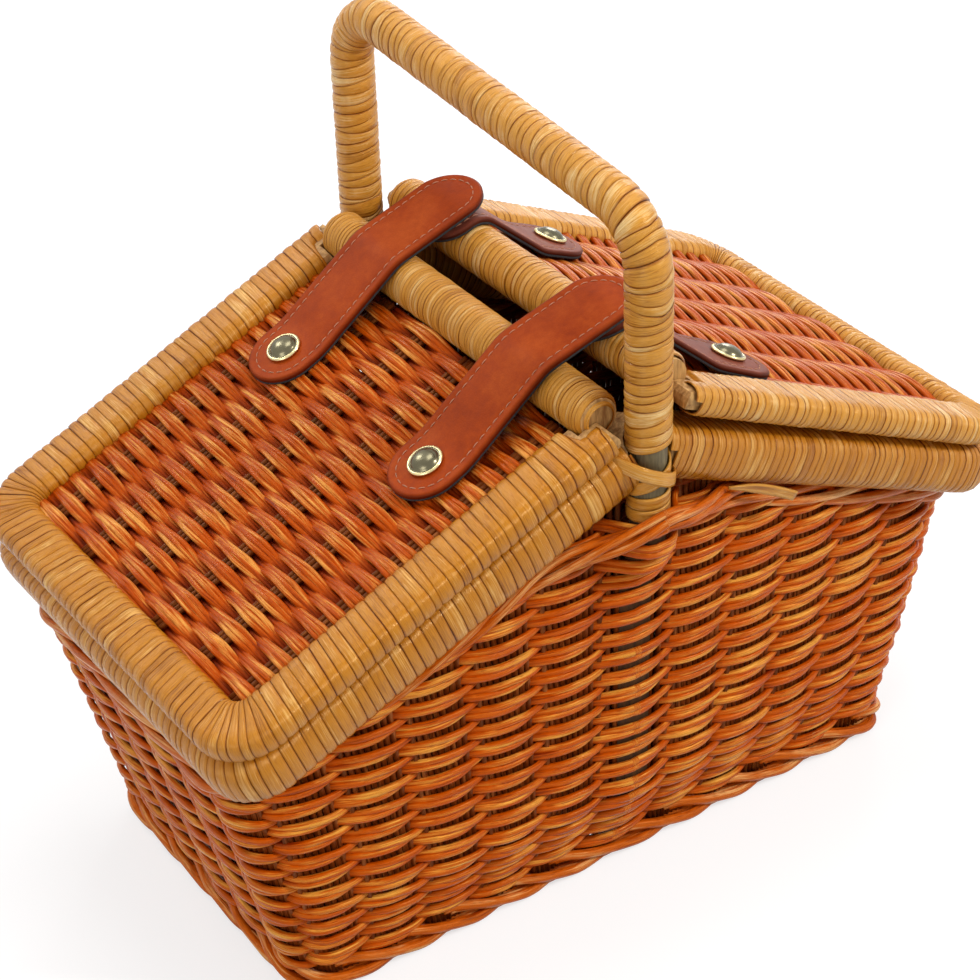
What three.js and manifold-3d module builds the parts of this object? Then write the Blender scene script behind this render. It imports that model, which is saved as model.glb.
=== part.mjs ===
// Wicker picnic basket: a flared woven tub, two lids that slope down from a middle peak, and a wrapped
// bow handle. Millimetres, +Z up, X along the basket, origin at the centre of the foot's underside.
import * as THREE from "three";
import { mergeVertices } from "three/addons/utils/BufferGeometryUtils.js";
import Module from "manifold-3d";

const wasm = await Module();
wasm.setup();

// Clearances
const gap = 0.3; // between pieces that touch
const hingeGap = 0.4; // round a turning bar
const lidRest = 0.4; // under a closed lid

// Woven tub
const baseLength = 260;
const baseWidth = 136;
const wallCorner = 16; // outer corner radius in plan
const wallThickness = 8;
const wallSwell = 12; // how far the long walls bulge at mid length
const swellHeight = 45; // where they are fully out
const swellFullness = 2.4; // power of the fall towards the corners
const footHeight = 8;
const footBreadth = 12;
const footEdge = 2.5;
const floorThickness = 6;

// Rim, a wrapped hoop in two halves that meet at the handle
const rimLength = 320;
const rimWidth = 180;
const rimCorner = 20;
const rimEndHeight = 103.2; // underside at the ends
const rimPeakHeight = 173.7; // underside at the middle
const rimThickness = 19.5; // square to its slope
const rimSideBreadth = 24;
const rimEndBreadth = 18;
const rimInnerCorner = 6;
const rimEdge = 7;
const rimOverhangEnd = 5; // how far the rim stands out past the weave
const rimOverhangSide = 18;
const borderRadius = 4.5; // roll of rods between the wall's top edge and the rim
const borderInset = 2.5; // from the wall's outer face to the roll's middle
const borderNeck = 3; // its radius where it bows round a post
const borderPostDrop = 6.5; // how much further it hangs under the rim there
const borderDroopReach = 70; // from the post to where it meets the rim
const borderBowReach = 30; // from the post to where it leaves the wall

// Flat cane that binds the rails and the handle
const caneSkin = 1.5;

// Handle, a bent pole whose ends run down inside the long walls
const handleSpan = 173.2; // between the centres of its posts
const handleHeight = 274.6; // centre of the bar at mid length
const handleClimb = 7.3; // rise of the bar from its middle to the back post
const handleBend = 20;
const handleRadius = 8; // over the cane
const tongueBreadth = 12;
const tongueThickness = 4;
const tongueFoot = 48; // height of the pole's hidden ends
const sleeveThickness = 2.5; // of the weave that swells round the pole
const sleeveDrop = 23.7; // from the rim's underside to the sleeve's top
const tongueDrop = 43.7; // from the rim's underside to where the pole leaves the wall
const postDrop = 21.7; // to where the pole stands straight
const bendIntoWall = 30;

// Cane lashing that ties each post to the rim, one strip of three turns
const lashWidth = 3.5;
const lashThickness = 1.2;
const lashPitch = 4;
const lashDrop = 8.9; // its first turn, under the rim's underside
const lashCrossDrop = 2.2; // the foot of the cross
const lashRise = 8.3; // the turn behind the post, over the rim's underside
const lashLift = 0.6; // air between crossing strips

// Lids, in their own plane: reach runs out from the peak, width across, height square to the lid
const lidReach = 175;
const lidWidth = 183;
const lidThickness = 11;
const lidSideBreadth = 20.6;
const leftLidEndBreadth = 18;
const rightLidEndBreadth = 12.5;
const lidCorner = 21;
const lidInnerCorner = 5;
const lidEdge = 4.6;
const lidCoreStart = 12; // where the bare ends of the frame begin
const lidStub = 4; // bare length left by the cane at each frame end
const weaveThickness = 5;
const rightLidRise = 5; // the right lid stands this much proud at its hinge
const barReach = 11.3; // hinge bar's distance from the peak, along the lid
const barRadius = 8.75; // over the cane
const barWrapLength = 152;
const barLength = 158;

// Leather straps and their capped rivets
const strapWidth = 28;
const strapThickness = 2.6;
const strapSpacing = 90; // between the two pairs
const strapFootReach = 45; // where a strap lifts off the weave
const strapBend = 24; // bend at the foot
const upperStrapEnd = 73; // reach of the left end
const upperStrapTip = 24; // how far the tip lies past the peak
const tipDroop = THREE.MathUtils.degToRad(14);
const tipBend = 22;
const lowerStrapEnd = 72;
const lowerStrapTuck = 16; // how far the lower strap reaches back under the upper one
const frontSplay = THREE.MathUtils.degToRad(12);
const backSplay = THREE.MathUtils.degToRad(6);
const capRadius = 6.25;
const capHeight = 3;
const shankRadius = 1.5;
const shankGrip = 1.2; // depth of the cap's socket
const rivetHeadRadius = 4.5;
const rivetHeadThickness = 1;

// Facets
const cornerSteps = 3;
const edgeSteps = 2;
const tubeSides = 10;
const bendSteps = 5;
const endSteps = 4; // each way round a strap's end
const borderSteps = 8; // each way from a post
const swellSteps = 5; // up to the full bulge
const sideSteps = 12; // along a long wall
const lashStepsPerTurn = 20;
const roundSides = 20;

// Materials
const finishes = {
  weave: { color: 0xa84a12, roughness: 0.45, metalness: 0 },
  rods: { color: 0xb4591b, roughness: 0.45, metalness: 0 },
  cane: { color: 0xc58a3c, roughness: 0.35, metalness: 0 },
  pole: { color: 0x8b866c, roughness: 0.7, metalness: 0 },
  leather: { color: 0x9a3c12, roughness: 0.5, metalness: 0 },
  darkLeather: { color: 0x7c4034, roughness: 0.55, metalness: 0 },
  metal: { color: 0xcfc9a8, roughness: 0.2, metalness: 1 },
};

// Derived places
const tongueHeight = rimPeakHeight - tongueDrop;
const postFoot = rimPeakHeight - postDrop;
const sleeveTop = rimPeakHeight - sleeveDrop;
const lashLow = rimPeakHeight - lashDrop;
const lashCrossLow = rimPeakHeight - lashCrossDrop;
const lashHigh = rimPeakHeight + lashRise;
const wrapFoot = lashHigh + lashWidth / 2 + 2 * gap;
const slope = Math.atan((rimPeakHeight - rimEndHeight) / (rimLength / 2));
const rimTopPeak = rimPeakHeight + rimThickness / Math.cos(slope);
const endFlare = (rimLength / 2 - rimOverhangEnd - baseLength / 2) / rimEndHeight;
const sideFlare = (rimWidth / 2 - rimOverhangSide - baseWidth / 2) / rimPeakHeight;
const postOffset = handleSpan / 2;
const coreRadius = handleRadius - caneSkin - gap;
const barHeight = barRadius + lidRest;
const weaveBottom = lidRest + (lidThickness - weaveThickness) / 2;
const weaveTop = weaveBottom + weaveThickness;
const strapLevel = weaveTop + gap + strapThickness / 2;
const rightSlope = slope + Math.asin((rightLidRise * Math.cos(slope)) / lidReach);
const quarter = Math.PI / 2;
const borderFall = borderRadius / Math.cos(slope) + 2 * gap;

// Height of the rim's underside over a place along the basket.
function rimUnderside(x) {
  return rimPeakHeight - Math.abs(x) * Math.tan(slope);
}

// Closed-body helpers

function closed(geometry) {
  const bare = geometry.clone();
  for (const name of Object.keys(bare.attributes)) {
    if (name !== "position") bare.deleteAttribute(name);
  }
  const merged = mergeVertices(bare, 1e-4);
  const place = merged.getAttribute("position");
  const index = merged.getIndex().array;
  const corners = [new THREE.Vector3(), new THREE.Vector3(), new THREE.Vector3()];
  let volume = 0;
  for (let i = 0; i < index.length; i += 3) {
    corners.forEach((corner, k) => corner.fromBufferAttribute(place, index[i + k]));
    volume += corners[0].dot(corners[1].cross(corners[2]));
  }
  if (volume < 0) {
    for (let i = 0; i < index.length; i += 3) {
      [index[i], index[i + 1]] = [index[i + 1], index[i]];
    }
  }
  return merged;
}

function solid(geometry) {
  const body = closed(geometry);
  return new wasm.Manifold(
    new wasm.Mesh({
      numProp: 3,
      vertProperties: new Float32Array(body.getAttribute("position").array),
      triVerts: new Uint32Array(body.getIndex().array),
    }),
  );
}

function geometryOf(body) {
  const mesh = body.getMesh();
  const geometry = new THREE.BufferGeometry();
  geometry.setAttribute("position", new THREE.BufferAttribute(mesh.vertProperties, 3));
  geometry.setIndex(new THREE.BufferAttribute(mesh.triVerts, 1));
  geometry.computeVertexNormals();
  return geometry;
}

function cut(body, ...tools) {
  return tools.reduce((left, tool) => left.subtract(tool), body);
}

// A closed body through rings of equal count, each turning anticlockwise about the way it runs.
function loft(rings, loop = false) {
  const count = rings[0].length;
  const positions = rings.flat().flatMap((point) => point.toArray());
  const index = [];
  const spans = loop ? rings.length : rings.length - 1;
  for (let i = 0; i < spans; i++) {
    const here = i * count;
    const there = ((i + 1) % rings.length) * count;
    for (let j = 0; j < count; j++) {
      const k = (j + 1) % count;
      index.push(here + j, here + k, there + k, here + j, there + k, there + j);
    }
  }
  if (!loop) {
    const end = (rings.length - 1) * count;
    for (let j = 1; j < count - 1; j++) {
      index.push(0, j + 1, j, end, end + j, end + j + 1);
    }
  }
  const geometry = new THREE.BufferGeometry();
  geometry.setAttribute("position", new THREE.Float32BufferAttribute(positions, 3));
  geometry.setIndex(index);
  geometry.computeVertexNormals();
  return geometry;
}

// Section outlines as pairs: across the route's plane, and deep in it.
function oval(halfBreadth, halfDepth) {
  return Array.from({ length: tubeSides }, (_, k) => {
    const angle = (2 * Math.PI * k) / tubeSides;
    return [halfBreadth * Math.sin(angle), halfDepth * Math.cos(angle)];
  });
}

function band(halfBreadth, halfDepth) {
  return [
    [halfBreadth, halfDepth],
    [halfBreadth, -halfDepth],
    [-halfBreadth, -halfDepth],
    [-halfBreadth, halfDepth],
  ];
}

// A flat route of straight stretches with a round bend at each inner corner.
function bentRoute(corners) {
  const points = [corners[0].at.clone()];
  for (let i = 1; i < corners.length - 1; i++) {
    const { at, radius } = corners[i];
    const into = at.clone().sub(corners[i - 1].at).normalize();
    const away = corners[i + 1].at.clone().sub(at).normalize();
    const turn = Math.atan2(into.cross(away), into.dot(away));
    const start = at.clone().addScaledVector(into, -radius * Math.tan(Math.abs(turn) / 2));
    const inward = new THREE.Vector2(-into.y, into.x).multiplyScalar(Math.sign(turn) * radius);
    const centre = start.clone().add(inward);
    for (let k = 0; k <= bendSteps; k++) {
      points.push(start.clone().rotateAround(centre, (turn * k) / bendSteps));
    }
  }
  points.push(corners.at(-1).at.clone());
  return points;
}

// Rings square to a flat route; place turns a route point and an offset across it into space.
function ringsAlong(points, place, section) {
  return points.map((point, i) => {
    const before = points[Math.max(i - 1, 0)];
    const after = points[Math.min(i + 1, points.length - 1)];
    const along = after.clone().sub(before).normalize();
    const inward = new THREE.Vector2(-along.y, along.x);
    return section(i).map(([across, deep]) => place(point.clone().addScaledVector(inward, deep), across));
  });
}

function roundPlate(shape, thickness, edge) {
  const plate = new THREE.ExtrudeGeometry(shape, {
    depth: thickness - 2 * edge,
    bevelThickness: edge,
    bevelSize: edge,
    bevelOffset: -edge,
    bevelSegments: edgeSteps,
    curveSegments: cornerSteps,
  });
  return plate.translate(0, 0, edge);
}

function plainPlate(shape, thickness) {
  return new THREE.ExtrudeGeometry(shape, {
    depth: thickness,
    bevelEnabled: false,
    curveSegments: cornerSteps,
  });
}

function roundedRectangle(low, high, radius) {
  const shape = new THREE.Shape();
  shape.absarc(high.x - radius, low.y + radius, radius, -quarter, 0, false);
  shape.absarc(high.x - radius, high.y - radius, radius, 0, quarter, false);
  shape.absarc(low.x + radius, high.y - radius, radius, quarter, 2 * quarter, false);
  shape.absarc(low.x + radius, low.y + radius, radius, 2 * quarter, 3 * quarter, false);
  return shape;
}

function centredRectangle(length, width, radius) {
  const half = new THREE.Vector2(length / 2, width / 2);
  return roundedRectangle(half.clone().negate(), half, radius);
}

function block(low, high) {
  const size = new THREE.Vector3().subVectors(high, low);
  const middle = new THREE.Vector3().addVectors(low, high).multiplyScalar(0.5);
  const geometry = new THREE.BoxGeometry(size.x, size.y, size.z);
  return solid(geometry.translate(middle.x, middle.y, middle.z));
}

function upright(radius, low, high, x = 0, y = 0) {
  const geometry = new THREE.CylinderGeometry(radius, radius, high - low, roundSides);
  return geometry.rotateX(quarter).translate(x, y, (low + high) / 2);
}

// Woven tub

// How far a long wall stands out past its flat flare.
function bulge(x, z) {
  const reach = baseLength / 2 + endFlare * z;
  const share = Math.min(Math.abs(x) / reach, 1) ** swellFullness;
  return wallSwell * THREE.MathUtils.smoothstep(z, footHeight, swellHeight) * (1 - share);
}

// The tub's outline at a height, anticlockwise from above.
function tubRing(inset, z) {
  const halfWidth = baseWidth / 2 + sideFlare * z - inset;
  const halfStraight = baseLength / 2 + endFlare * z - wallCorner;
  const radius = wallCorner - inset;
  const points = [];
  for (const [x, y, start] of [[1, -1, 3], [1, 1, 0], [-1, 1, 1], [-1, -1, 2]]) {
    const centre = new THREE.Vector2(x * halfStraight, y * (halfWidth - radius));
    for (let k = 0; k <= cornerSteps; k++) {
      const angle = (start + k / cornerSteps) * quarter;
      points.push(new THREE.Vector2(radius, 0).rotateAround(new THREE.Vector2(), angle).add(centre));
    }
    if (x !== y) continue;
    for (let k = 1; k < sideSteps; k++) {
      points.push(new THREE.Vector2(x * halfStraight * (1 - (2 * k) / sideSteps), y * halfWidth));
    }
  }
  return points.map(({ x, y }) => new THREE.Vector3(x, y + Math.sign(y) * bulge(x, z), z));
}

function tubBlock(inset, levels) {
  return solid(loft(levels.map((z) => tubRing(inset, z))));
}

function nearPost(x, reach) {
  return 1 - THREE.MathUtils.smoothstep(Math.abs(x), coreRadius / 2, reach);
}

// Height of the border's middle over a place along the basket.
function borderHeight(x) {
  return rimUnderside(x) - borderFall - borderPostDrop * nearPost(x, borderDroopReach);
}

// Everything above the underside of the border.
function spaceOverWall() {
  const drop = borderRadius / Math.cos(slope) + gap;
  const top = 2 * rimPeakHeight;
  const edge = [];
  for (let k = -borderSteps; k <= borderSteps; k++) {
    const x = (borderDroopReach * k * Math.abs(k)) / borderSteps ** 2;
    edge.push(new THREE.Vector2(x, borderHeight(x) - drop));
  }
  const far = rimLength;
  const shape = new THREE.Shape([
    new THREE.Vector2(-far, borderHeight(far) - drop),
    ...edge,
    new THREE.Vector2(far, borderHeight(far) - drop),
    new THREE.Vector2(far, top),
    new THREE.Vector2(-far, top),
  ]);
  return solid(plainPlate(shape, 2 * rimWidth).rotateX(quarter).translate(0, rimWidth, 0));
}

function wall() {
  const low = footHeight + gap;
  const rises = Array.from({ length: swellSteps + 1 }, (_, k) => low + ((swellHeight - low) * k) / swellSteps);
  const outer = tubBlock(0, [...rises, rimPeakHeight]);
  const inner = tubBlock(wallThickness, [low - 1, ...rises, rimPeakHeight + 1]);
  const tall = block(
    new THREE.Vector3(-tongueBreadth, -rimWidth, low),
    new THREE.Vector3(tongueBreadth, rimWidth, sleeveTop),
  );
  const sleeve = pole(sleeveThickness).intersect(tall);
  return cut(outer.subtract(inner).subtract(spaceOverWall()).add(sleeve), pole(gap));
}

function foot() {
  const shape = centredRectangle(baseLength, baseWidth, wallCorner);
  const inside = centredRectangle(
    baseLength - 2 * footBreadth,
    baseWidth - 2 * footBreadth,
    wallCorner - footBreadth,
  );
  shape.holes.push(inside);
  return roundPlate(shape, footHeight, footEdge);
}

function floor() {
  const low = footHeight + gap;
  return tubBlock(wallThickness + gap, [low, low + floorThickness]);
}

// The roll of rods that follows the wall's top edge all round, under the rim. At each post it droops
// from the rim and bows out round the pole.
function topBorder() {
  const radius = wallCorner - borderInset;
  const stops = [];
  for (const [x, y, start] of [[1, -1, 3], [1, 1, 0], [-1, 1, 1], [-1, -1, 2]]) {
    for (let k = 0; k <= cornerSteps; k++) {
      const angle = (start + k / cornerSteps) * quarter;
      stops.push({ x, y, across: Math.cos(angle), along: Math.sin(angle) });
    }
    if (x !== y) continue;
    for (let k = -borderSteps; k <= borderSteps; k++) {
      const share = k / borderSteps;
      stops.push({ middle: -x * borderDroopReach * share * Math.abs(share), y, along: y });
    }
  }
  const points = stops.map((stop) => {
    const point = new THREE.Vector3(0, 0, rimEndHeight);
    for (let pass = 0; pass < 4; pass++) {
      const halfLength = baseLength / 2 + endFlare * point.z - borderInset;
      const halfWidth = baseWidth / 2 + sideFlare * point.z - borderInset;
      point.x = stop.middle ?? stop.x * (halfLength - radius) + stop.across * radius;
      point.y = stop.y * (halfWidth - radius) + stop.along * radius;
      point.z = borderHeight(point.x);
    }
    point.y += stop.y * bulge(point.x, point.z);
    const bow = postOffset + coreRadius + gap + borderNeck - Math.abs(point.y);
    point.y += stop.y * bow * nearPost(point.x, borderBowReach);
    return point;
  });
  const rings = points.map((point, i) => {
    const before = points.at(i - 1);
    const after = points[(i + 1) % points.length];
    const along = after.clone().sub(before).normalize();
    const outward = new THREE.Vector3().crossVectors(along, new THREE.Vector3(0, 0, 1)).normalize();
    const up = new THREE.Vector3().crossVectors(along, outward);
    const breadth = THREE.MathUtils.lerp(borderRadius, borderNeck, nearPost(point.x, borderBowReach));
    return oval(breadth, breadth).map(([across, deep]) =>
      point.clone().addScaledVector(outward, deep).addScaledVector(up, across),
    );
  });
  return loft(rings, true);
}

// Rails

// A U-shaped rail in its own plane, open towards the peak. Inset draws in every outer face alike.
function rail({ start, reach, width, side, end, corner, innerCorner, thickness, edge }, inset) {
  const far = reach - inset;
  const half = width / 2 - inset;
  const farIn = reach - end + inset;
  const halfIn = width / 2 - side + inset;
  const outer = corner - inset;
  const inner = innerCorner + inset;
  const shape = new THREE.Shape();
  shape.moveTo(start, -halfIn);
  shape.lineTo(start, -half);
  shape.absarc(far - outer, -half + outer, outer, -quarter, 0, false);
  shape.absarc(far - outer, half - outer, outer, 0, quarter, false);
  shape.lineTo(start, half);
  shape.lineTo(start, halfIn);
  shape.absarc(farIn - inner, halfIn - inner, inner, quarter, 0, true);
  shape.absarc(farIn - inner, -halfIn + inner, inner, 0, -quarter, true);
  const depth = thickness - 2 * inset;
  return roundPlate(shape, depth, edge - inset).translate(0, 0, inset);
}

// Slope a piece made in a plane so that it runs down from the peak, to the right or to the left.
function planeMatrix(side, tilt, peak) {
  const turn = new THREE.Matrix4().makeRotationZ(side > 0 ? 0 : Math.PI);
  const lean = new THREE.Matrix4().makeRotationY(tilt);
  return new THREE.Matrix4().makeTranslation(0, 0, peak).multiply(turn).multiply(lean);
}

const rimDimensions = {
  start: -rimThickness,
  reach: (rimLength / 2 + (rimThickness / 2) * Math.sin(slope)) / Math.cos(slope),
  width: rimWidth,
  side: rimSideBreadth,
  end: rimEndBreadth,
  corner: rimCorner,
  innerCorner: rimInnerCorner,
  thickness: rimThickness,
  edge: rimEdge,
};

function rimPlate(side, inset) {
  const plate = rail(rimDimensions, inset).translate(0, 0, -rimThickness);
  return solid(plate.applyMatrix4(planeMatrix(side, slope, rimTopPeak)));
}

// Ends a rim half at the middle and makes way for the posts.
function rimHalf(side, body) {
  const far = rimLength;
  const low = new THREE.Vector3(side > 0 ? -far : -gap / 2, -far, 0);
  const high = new THREE.Vector3(side > 0 ? gap / 2 : far, far, far);
  return cut(body, block(low, high), ...postHoles());
}

function rimWrap(side) {
  return rimHalf(side, rimPlate(side, 0).subtract(rimPlate(side, caneSkin)));
}

function rimCore(side) {
  return rimHalf(side, rimPlate(side, caneSkin + gap));
}

// Handle

function wallMiddle(z) {
  return baseWidth / 2 + sideFlare * z + bulge(0, z) - wallThickness / 2;
}

function handleRoute(deeper = 0) {
  const corner = (y, z, radius) => ({ at: new THREE.Vector2(y, z), radius });
  const stand = (side) => [
    corner(side * wallMiddle(tongueFoot), tongueFoot - deeper, 0),
    corner(side * wallMiddle(tongueHeight), tongueHeight, bendIntoWall),
    corner(side * postOffset, postFoot, bendIntoWall / 2),
  ];
  return bentRoute([
    ...stand(-1),
    corner(-postOffset, handleHeight - handleClimb, handleBend),
    corner(postOffset, handleHeight + handleClimb, handleBend),
    ...stand(1).reverse(),
  ]);
}

function inHandlePlane(point, across) {
  return new THREE.Vector3(across, point.x, point.y);
}

// The bent pole, round over the rim and thinned to a flat tongue inside the wall.
function pole(grow) {
  const points = handleRoute(grow);
  const rings = ringsAlong(points, inHandlePlane, (i) => {
    const risen = THREE.MathUtils.clamp((points[i].y - tongueHeight) / (postFoot - tongueHeight), 0, 1);
    const breadth = THREE.MathUtils.lerp(tongueBreadth / 2, coreRadius, risen);
    const depth = THREE.MathUtils.lerp(tongueThickness / 2, coreRadius, risen);
    return oval(breadth + grow, depth + grow);
  });
  return solid(loft(rings));
}

function handleWrap() {
  const points = handleRoute().filter((point) => point.y > wrapFoot);
  const foot = (side) => new THREE.Vector2(side * postOffset, wrapFoot);
  const route = [foot(-1), ...points, foot(1)];
  const tube = (radius, extra) => {
    const ends = [0, route.length - 1];
    const stretched = route.map((point, i) =>
      ends.includes(i) ? new THREE.Vector2(point.x, point.y - extra) : point,
    );
    return solid(loft(ringsAlong(stretched, inHandlePlane, () => oval(radius, radius))));
  };
  return tube(handleRadius, 0).subtract(tube(coreRadius + gap, 1));
}

// Round room for a post and its lashing, through the rim and the border.
function postHoles() {
  return [-1, 1].map((side) =>
    solid(upright(handleRadius + gap, sleeveTop, rimTopPeak + rimThickness, 0, side * postOffset)),
  );
}

// One strip: a low turn, a rise across the front, a pass behind, and a fall that crosses it in front.
function lashing(side) {
  const stages = [
    [0, lashLow],
    [1, lashLow + lashPitch],
    [1.25, lashCrossLow],
    [1.75, lashHigh],
    [2.25, lashHigh],
    [2.75, lashCrossLow + lashPitch / 2],
    [3, lashCrossLow + lashPitch * 0.6],
  ];
  const turns = stages.at(-1)[0];
  const heightAt = (turn) => {
    const next = Math.max(1, stages.findIndex(([start]) => start >= turn));
    const [[t0, z0], [t1, z1]] = [stages[next - 1], stages[next]];
    return THREE.MathUtils.lerp(z0, z1, THREE.MathUtils.smoothstep(turn, t0, t1));
  };
  const crossing = 2.5;
  const steps = Math.round(turns * lashStepsPerTurn);
  const inner = coreRadius + gap + lashThickness / 2;
  const path = Array.from({ length: steps + 1 }, (_, k) => {
    const turn = (turns * k) / steps;
    const over = 1 - THREE.MathUtils.smoothstep(Math.abs(turn - crossing), 0.08, 0.16);
    const radius = inner + over * (lashThickness + lashLift);
    const angle = quarter + 2 * Math.PI * turn;
    const flat = new THREE.Vector3(Math.cos(angle), -side * Math.sin(angle), 0);
    return { flat, point: flat.clone().multiplyScalar(radius).setZ(heightAt(turn)) };
  });
  const rings = path.map(({ flat, point }, i) => {
    const before = path[Math.max(i - 1, 0)].point;
    const after = path[Math.min(i + 1, steps)].point;
    const along = after.clone().sub(before).normalize();
    const breadth = new THREE.Vector3().crossVectors(along, flat);
    const centre = point.clone().setY(point.y + side * postOffset);
    return band(lashWidth / 2, lashThickness / 2).map(([across, deep]) =>
      centre.clone().addScaledVector(breadth, across).addScaledVector(flat, deep),
    );
  });
  return loft(rings);
}

// Least distance between stretches of a strip that lie more than a third of a turn apart.
function leastGap(geometry) {
  const place = geometry.getAttribute("position");
  const corners = band(1, 1).length;
  const apart = Math.round(lashStepsPerTurn / 3) * corners;
  const from = new THREE.Vector3();
  const to = new THREE.Vector3();
  let least = Infinity;
  for (let i = 0; i < place.count; i++) {
    from.fromBufferAttribute(place, i);
    for (let j = i + apart; j < place.count; j++) {
      least = Math.min(least, from.distanceTo(to.fromBufferAttribute(place, j)));
    }
  }
  return least;
}

// Lids

const lidDimensions = {
  start: lidCoreStart,
  reach: lidReach,
  width: lidWidth,
  side: lidSideBreadth,
  corner: lidCorner,
  innerCorner: lidInnerCorner,
  thickness: lidThickness,
  edge: lidEdge,
};

function barCylinder(radius, length) {
  const geometry = new THREE.CylinderGeometry(radius, radius, length, roundSides);
  return solid(geometry.translate(0, 0, 0)).translate([barReach, 0, barHeight]);
}

// Room for the hinge bar between the bare ends of the frame.
function barNotch() {
  return barCylinder(barRadius + hingeGap, barLength + 2 * hingeGap);
}

function lidRail(end, inset) {
  return solid(rail({ ...lidDimensions, end }, inset).translate(0, 0, lidRest));
}

function lidRailWrap(end) {
  const bare = block(
    new THREE.Vector3(-lidStub, -lidWidth, 0),
    new THREE.Vector3(lidCoreStart + lidStub, lidWidth, 2 * lidThickness),
  );
  return cut(lidRail(end, 0), lidRail(end, caneSkin), bare, barNotch());
}

function lidRailCore(end) {
  return cut(lidRail(end, caneSkin + gap), barNotch());
}

function barWrap() {
  return barCylinder(barRadius, barWrapLength).subtract(barCylinder(barRadius - caneSkin, barWrapLength + 2));
}

function barCore() {
  return barCylinder(barRadius - caneSkin - gap, barLength);
}

function lidWeave(end, rivets) {
  const low = new THREE.Vector2(barReach + barRadius + hingeGap, -lidWidth / 2 + lidSideBreadth + gap);
  const high = new THREE.Vector2(lidReach - end - gap, -low.y);
  const shape = roundedRectangle(low, high, lidInnerCorner - gap);
  const plate = solid(plainPlate(shape, weaveThickness).translate(0, 0, weaveBottom));
  return cut(plate, ...rivets.map(rivetHole));
}

// Straps

function rivetHole({ reach, across }) {
  const radius = shankRadius + gap;
  return solid(upright(radius, weaveBottom - 1, strapLevel + 2 * strapThickness, reach, across));
}

function cap() {
  const steps = 4;
  const dome = Array.from({ length: steps + 1 }, (_, k) => {
    const angle = (quarter * k) / steps;
    return new THREE.Vector2(capRadius * Math.cos(angle), capHeight * Math.sin(angle) + gap);
  });
  dome[steps].x = 0;
  const profile = [
    new THREE.Vector2(0, shankGrip),
    new THREE.Vector2(shankRadius + gap, shankGrip),
    new THREE.Vector2(shankRadius + gap, 0),
    new THREE.Vector2(capRadius, 0),
    ...dome,
  ];
  return new THREE.LatheGeometry(profile, roundSides).rotateX(quarter);
}

// The shank stands in the cap's socket and is spread to a flat head under the weave.
function rivet() {
  const top = shankGrip - gap;
  const headTop = weaveBottom - gap - capSeat;
  const profile = [
    new THREE.Vector2(0, headTop - rivetHeadThickness),
    new THREE.Vector2(rivetHeadRadius, headTop - rivetHeadThickness),
    new THREE.Vector2(rivetHeadRadius, headTop),
    new THREE.Vector2(shankRadius, headTop),
    new THREE.Vector2(shankRadius, top),
    new THREE.Vector2(0, top),
  ];
  return new THREE.LatheGeometry(profile, roundSides).rotateX(quarter);
}

const capSeat = strapLevel + strapThickness / 2 + gap;

// Where a lid-plane point lies seen from the front, as x and z.
function frontView(side, tilt, peak, reach, height) {
  const point = new THREE.Vector3(reach, 0, height).applyMatrix4(planeMatrix(side, tilt, peak));
  return new THREE.Vector2(point.x, point.z);
}

const leftPlane = [-1, slope, rimTopPeak];
const rightPlane = [1, rightSlope, rimTopPeak + rightLidRise];
const leftBar = frontView(...leftPlane, barReach, barHeight);
const rightBar = frontView(...rightPlane, barReach, barHeight);

// Crossing of two lines, each given by a point and a direction.
function crossing(from, along, other, otherAlong) {
  const apart = other.clone().sub(from);
  return from.clone().addScaledVector(along, apart.cross(otherAlong) / along.cross(otherAlong));
}

// The line that rises from a foot on the lid and just clears a circle round a bar.
function liftOff(foot, bar, radius, side) {
  const towards = bar.clone().sub(foot);
  const swing = Math.asin(radius / towards.length());
  return towards.normalize().rotateAround(new THREE.Vector2(), side * swing);
}

function upperStrapRoute() {
  const clear = barRadius + 1.5 * strapThickness + 2 * gap;
  const overBars = rightBar.clone().sub(leftBar).normalize();
  const raised = new THREE.Vector2(-overBars.y, overBars.x).multiplyScalar(clear);
  const start = frontView(...leftPlane, upperStrapEnd, strapLevel);
  const lift = frontView(...leftPlane, strapFootReach, strapLevel);
  const rise = liftOff(lift, leftBar, clear, 1);
  const peak = crossing(lift, rise, leftBar.clone().add(raised), overBars);
  const turn = rightBar.clone().add(raised).addScaledVector(overBars, tipBend * Math.tan(tipDroop));
  const fall = overBars.clone().rotateAround(new THREE.Vector2(), -2 * tipDroop);
  const tip = turn.clone().addScaledVector(fall, (upperStrapTip - turn.x) / fall.x);
  return bentRoute([
    { at: start },
    { at: lift, radius: strapBend },
    { at: peak, radius: clear },
    { at: turn, radius: tipBend },
    { at: tip },
  ]);
}

function lowerStrapRoute() {
  const clear = barRadius + strapThickness / 2 + gap;
  const overBars = rightBar.clone().sub(leftBar).normalize();
  const raised = new THREE.Vector2(-overBars.y, overBars.x).multiplyScalar(clear);
  const end = frontView(...rightPlane, lowerStrapEnd, strapLevel);
  const lift = frontView(...rightPlane, strapFootReach, strapLevel);
  const rise = liftOff(lift, rightBar, clear, -1);
  const peak = crossing(lift, rise, rightBar.clone().add(raised), overBars);
  const tuck = peak.clone().addScaledVector(overBars, -(peak.x + lowerStrapTuck) / overBars.x);
  return bentRoute([
    { at: end },
    { at: lift, radius: strapBend },
    { at: peak, radius: clear },
    { at: tuck },
  ]);
}

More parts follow.
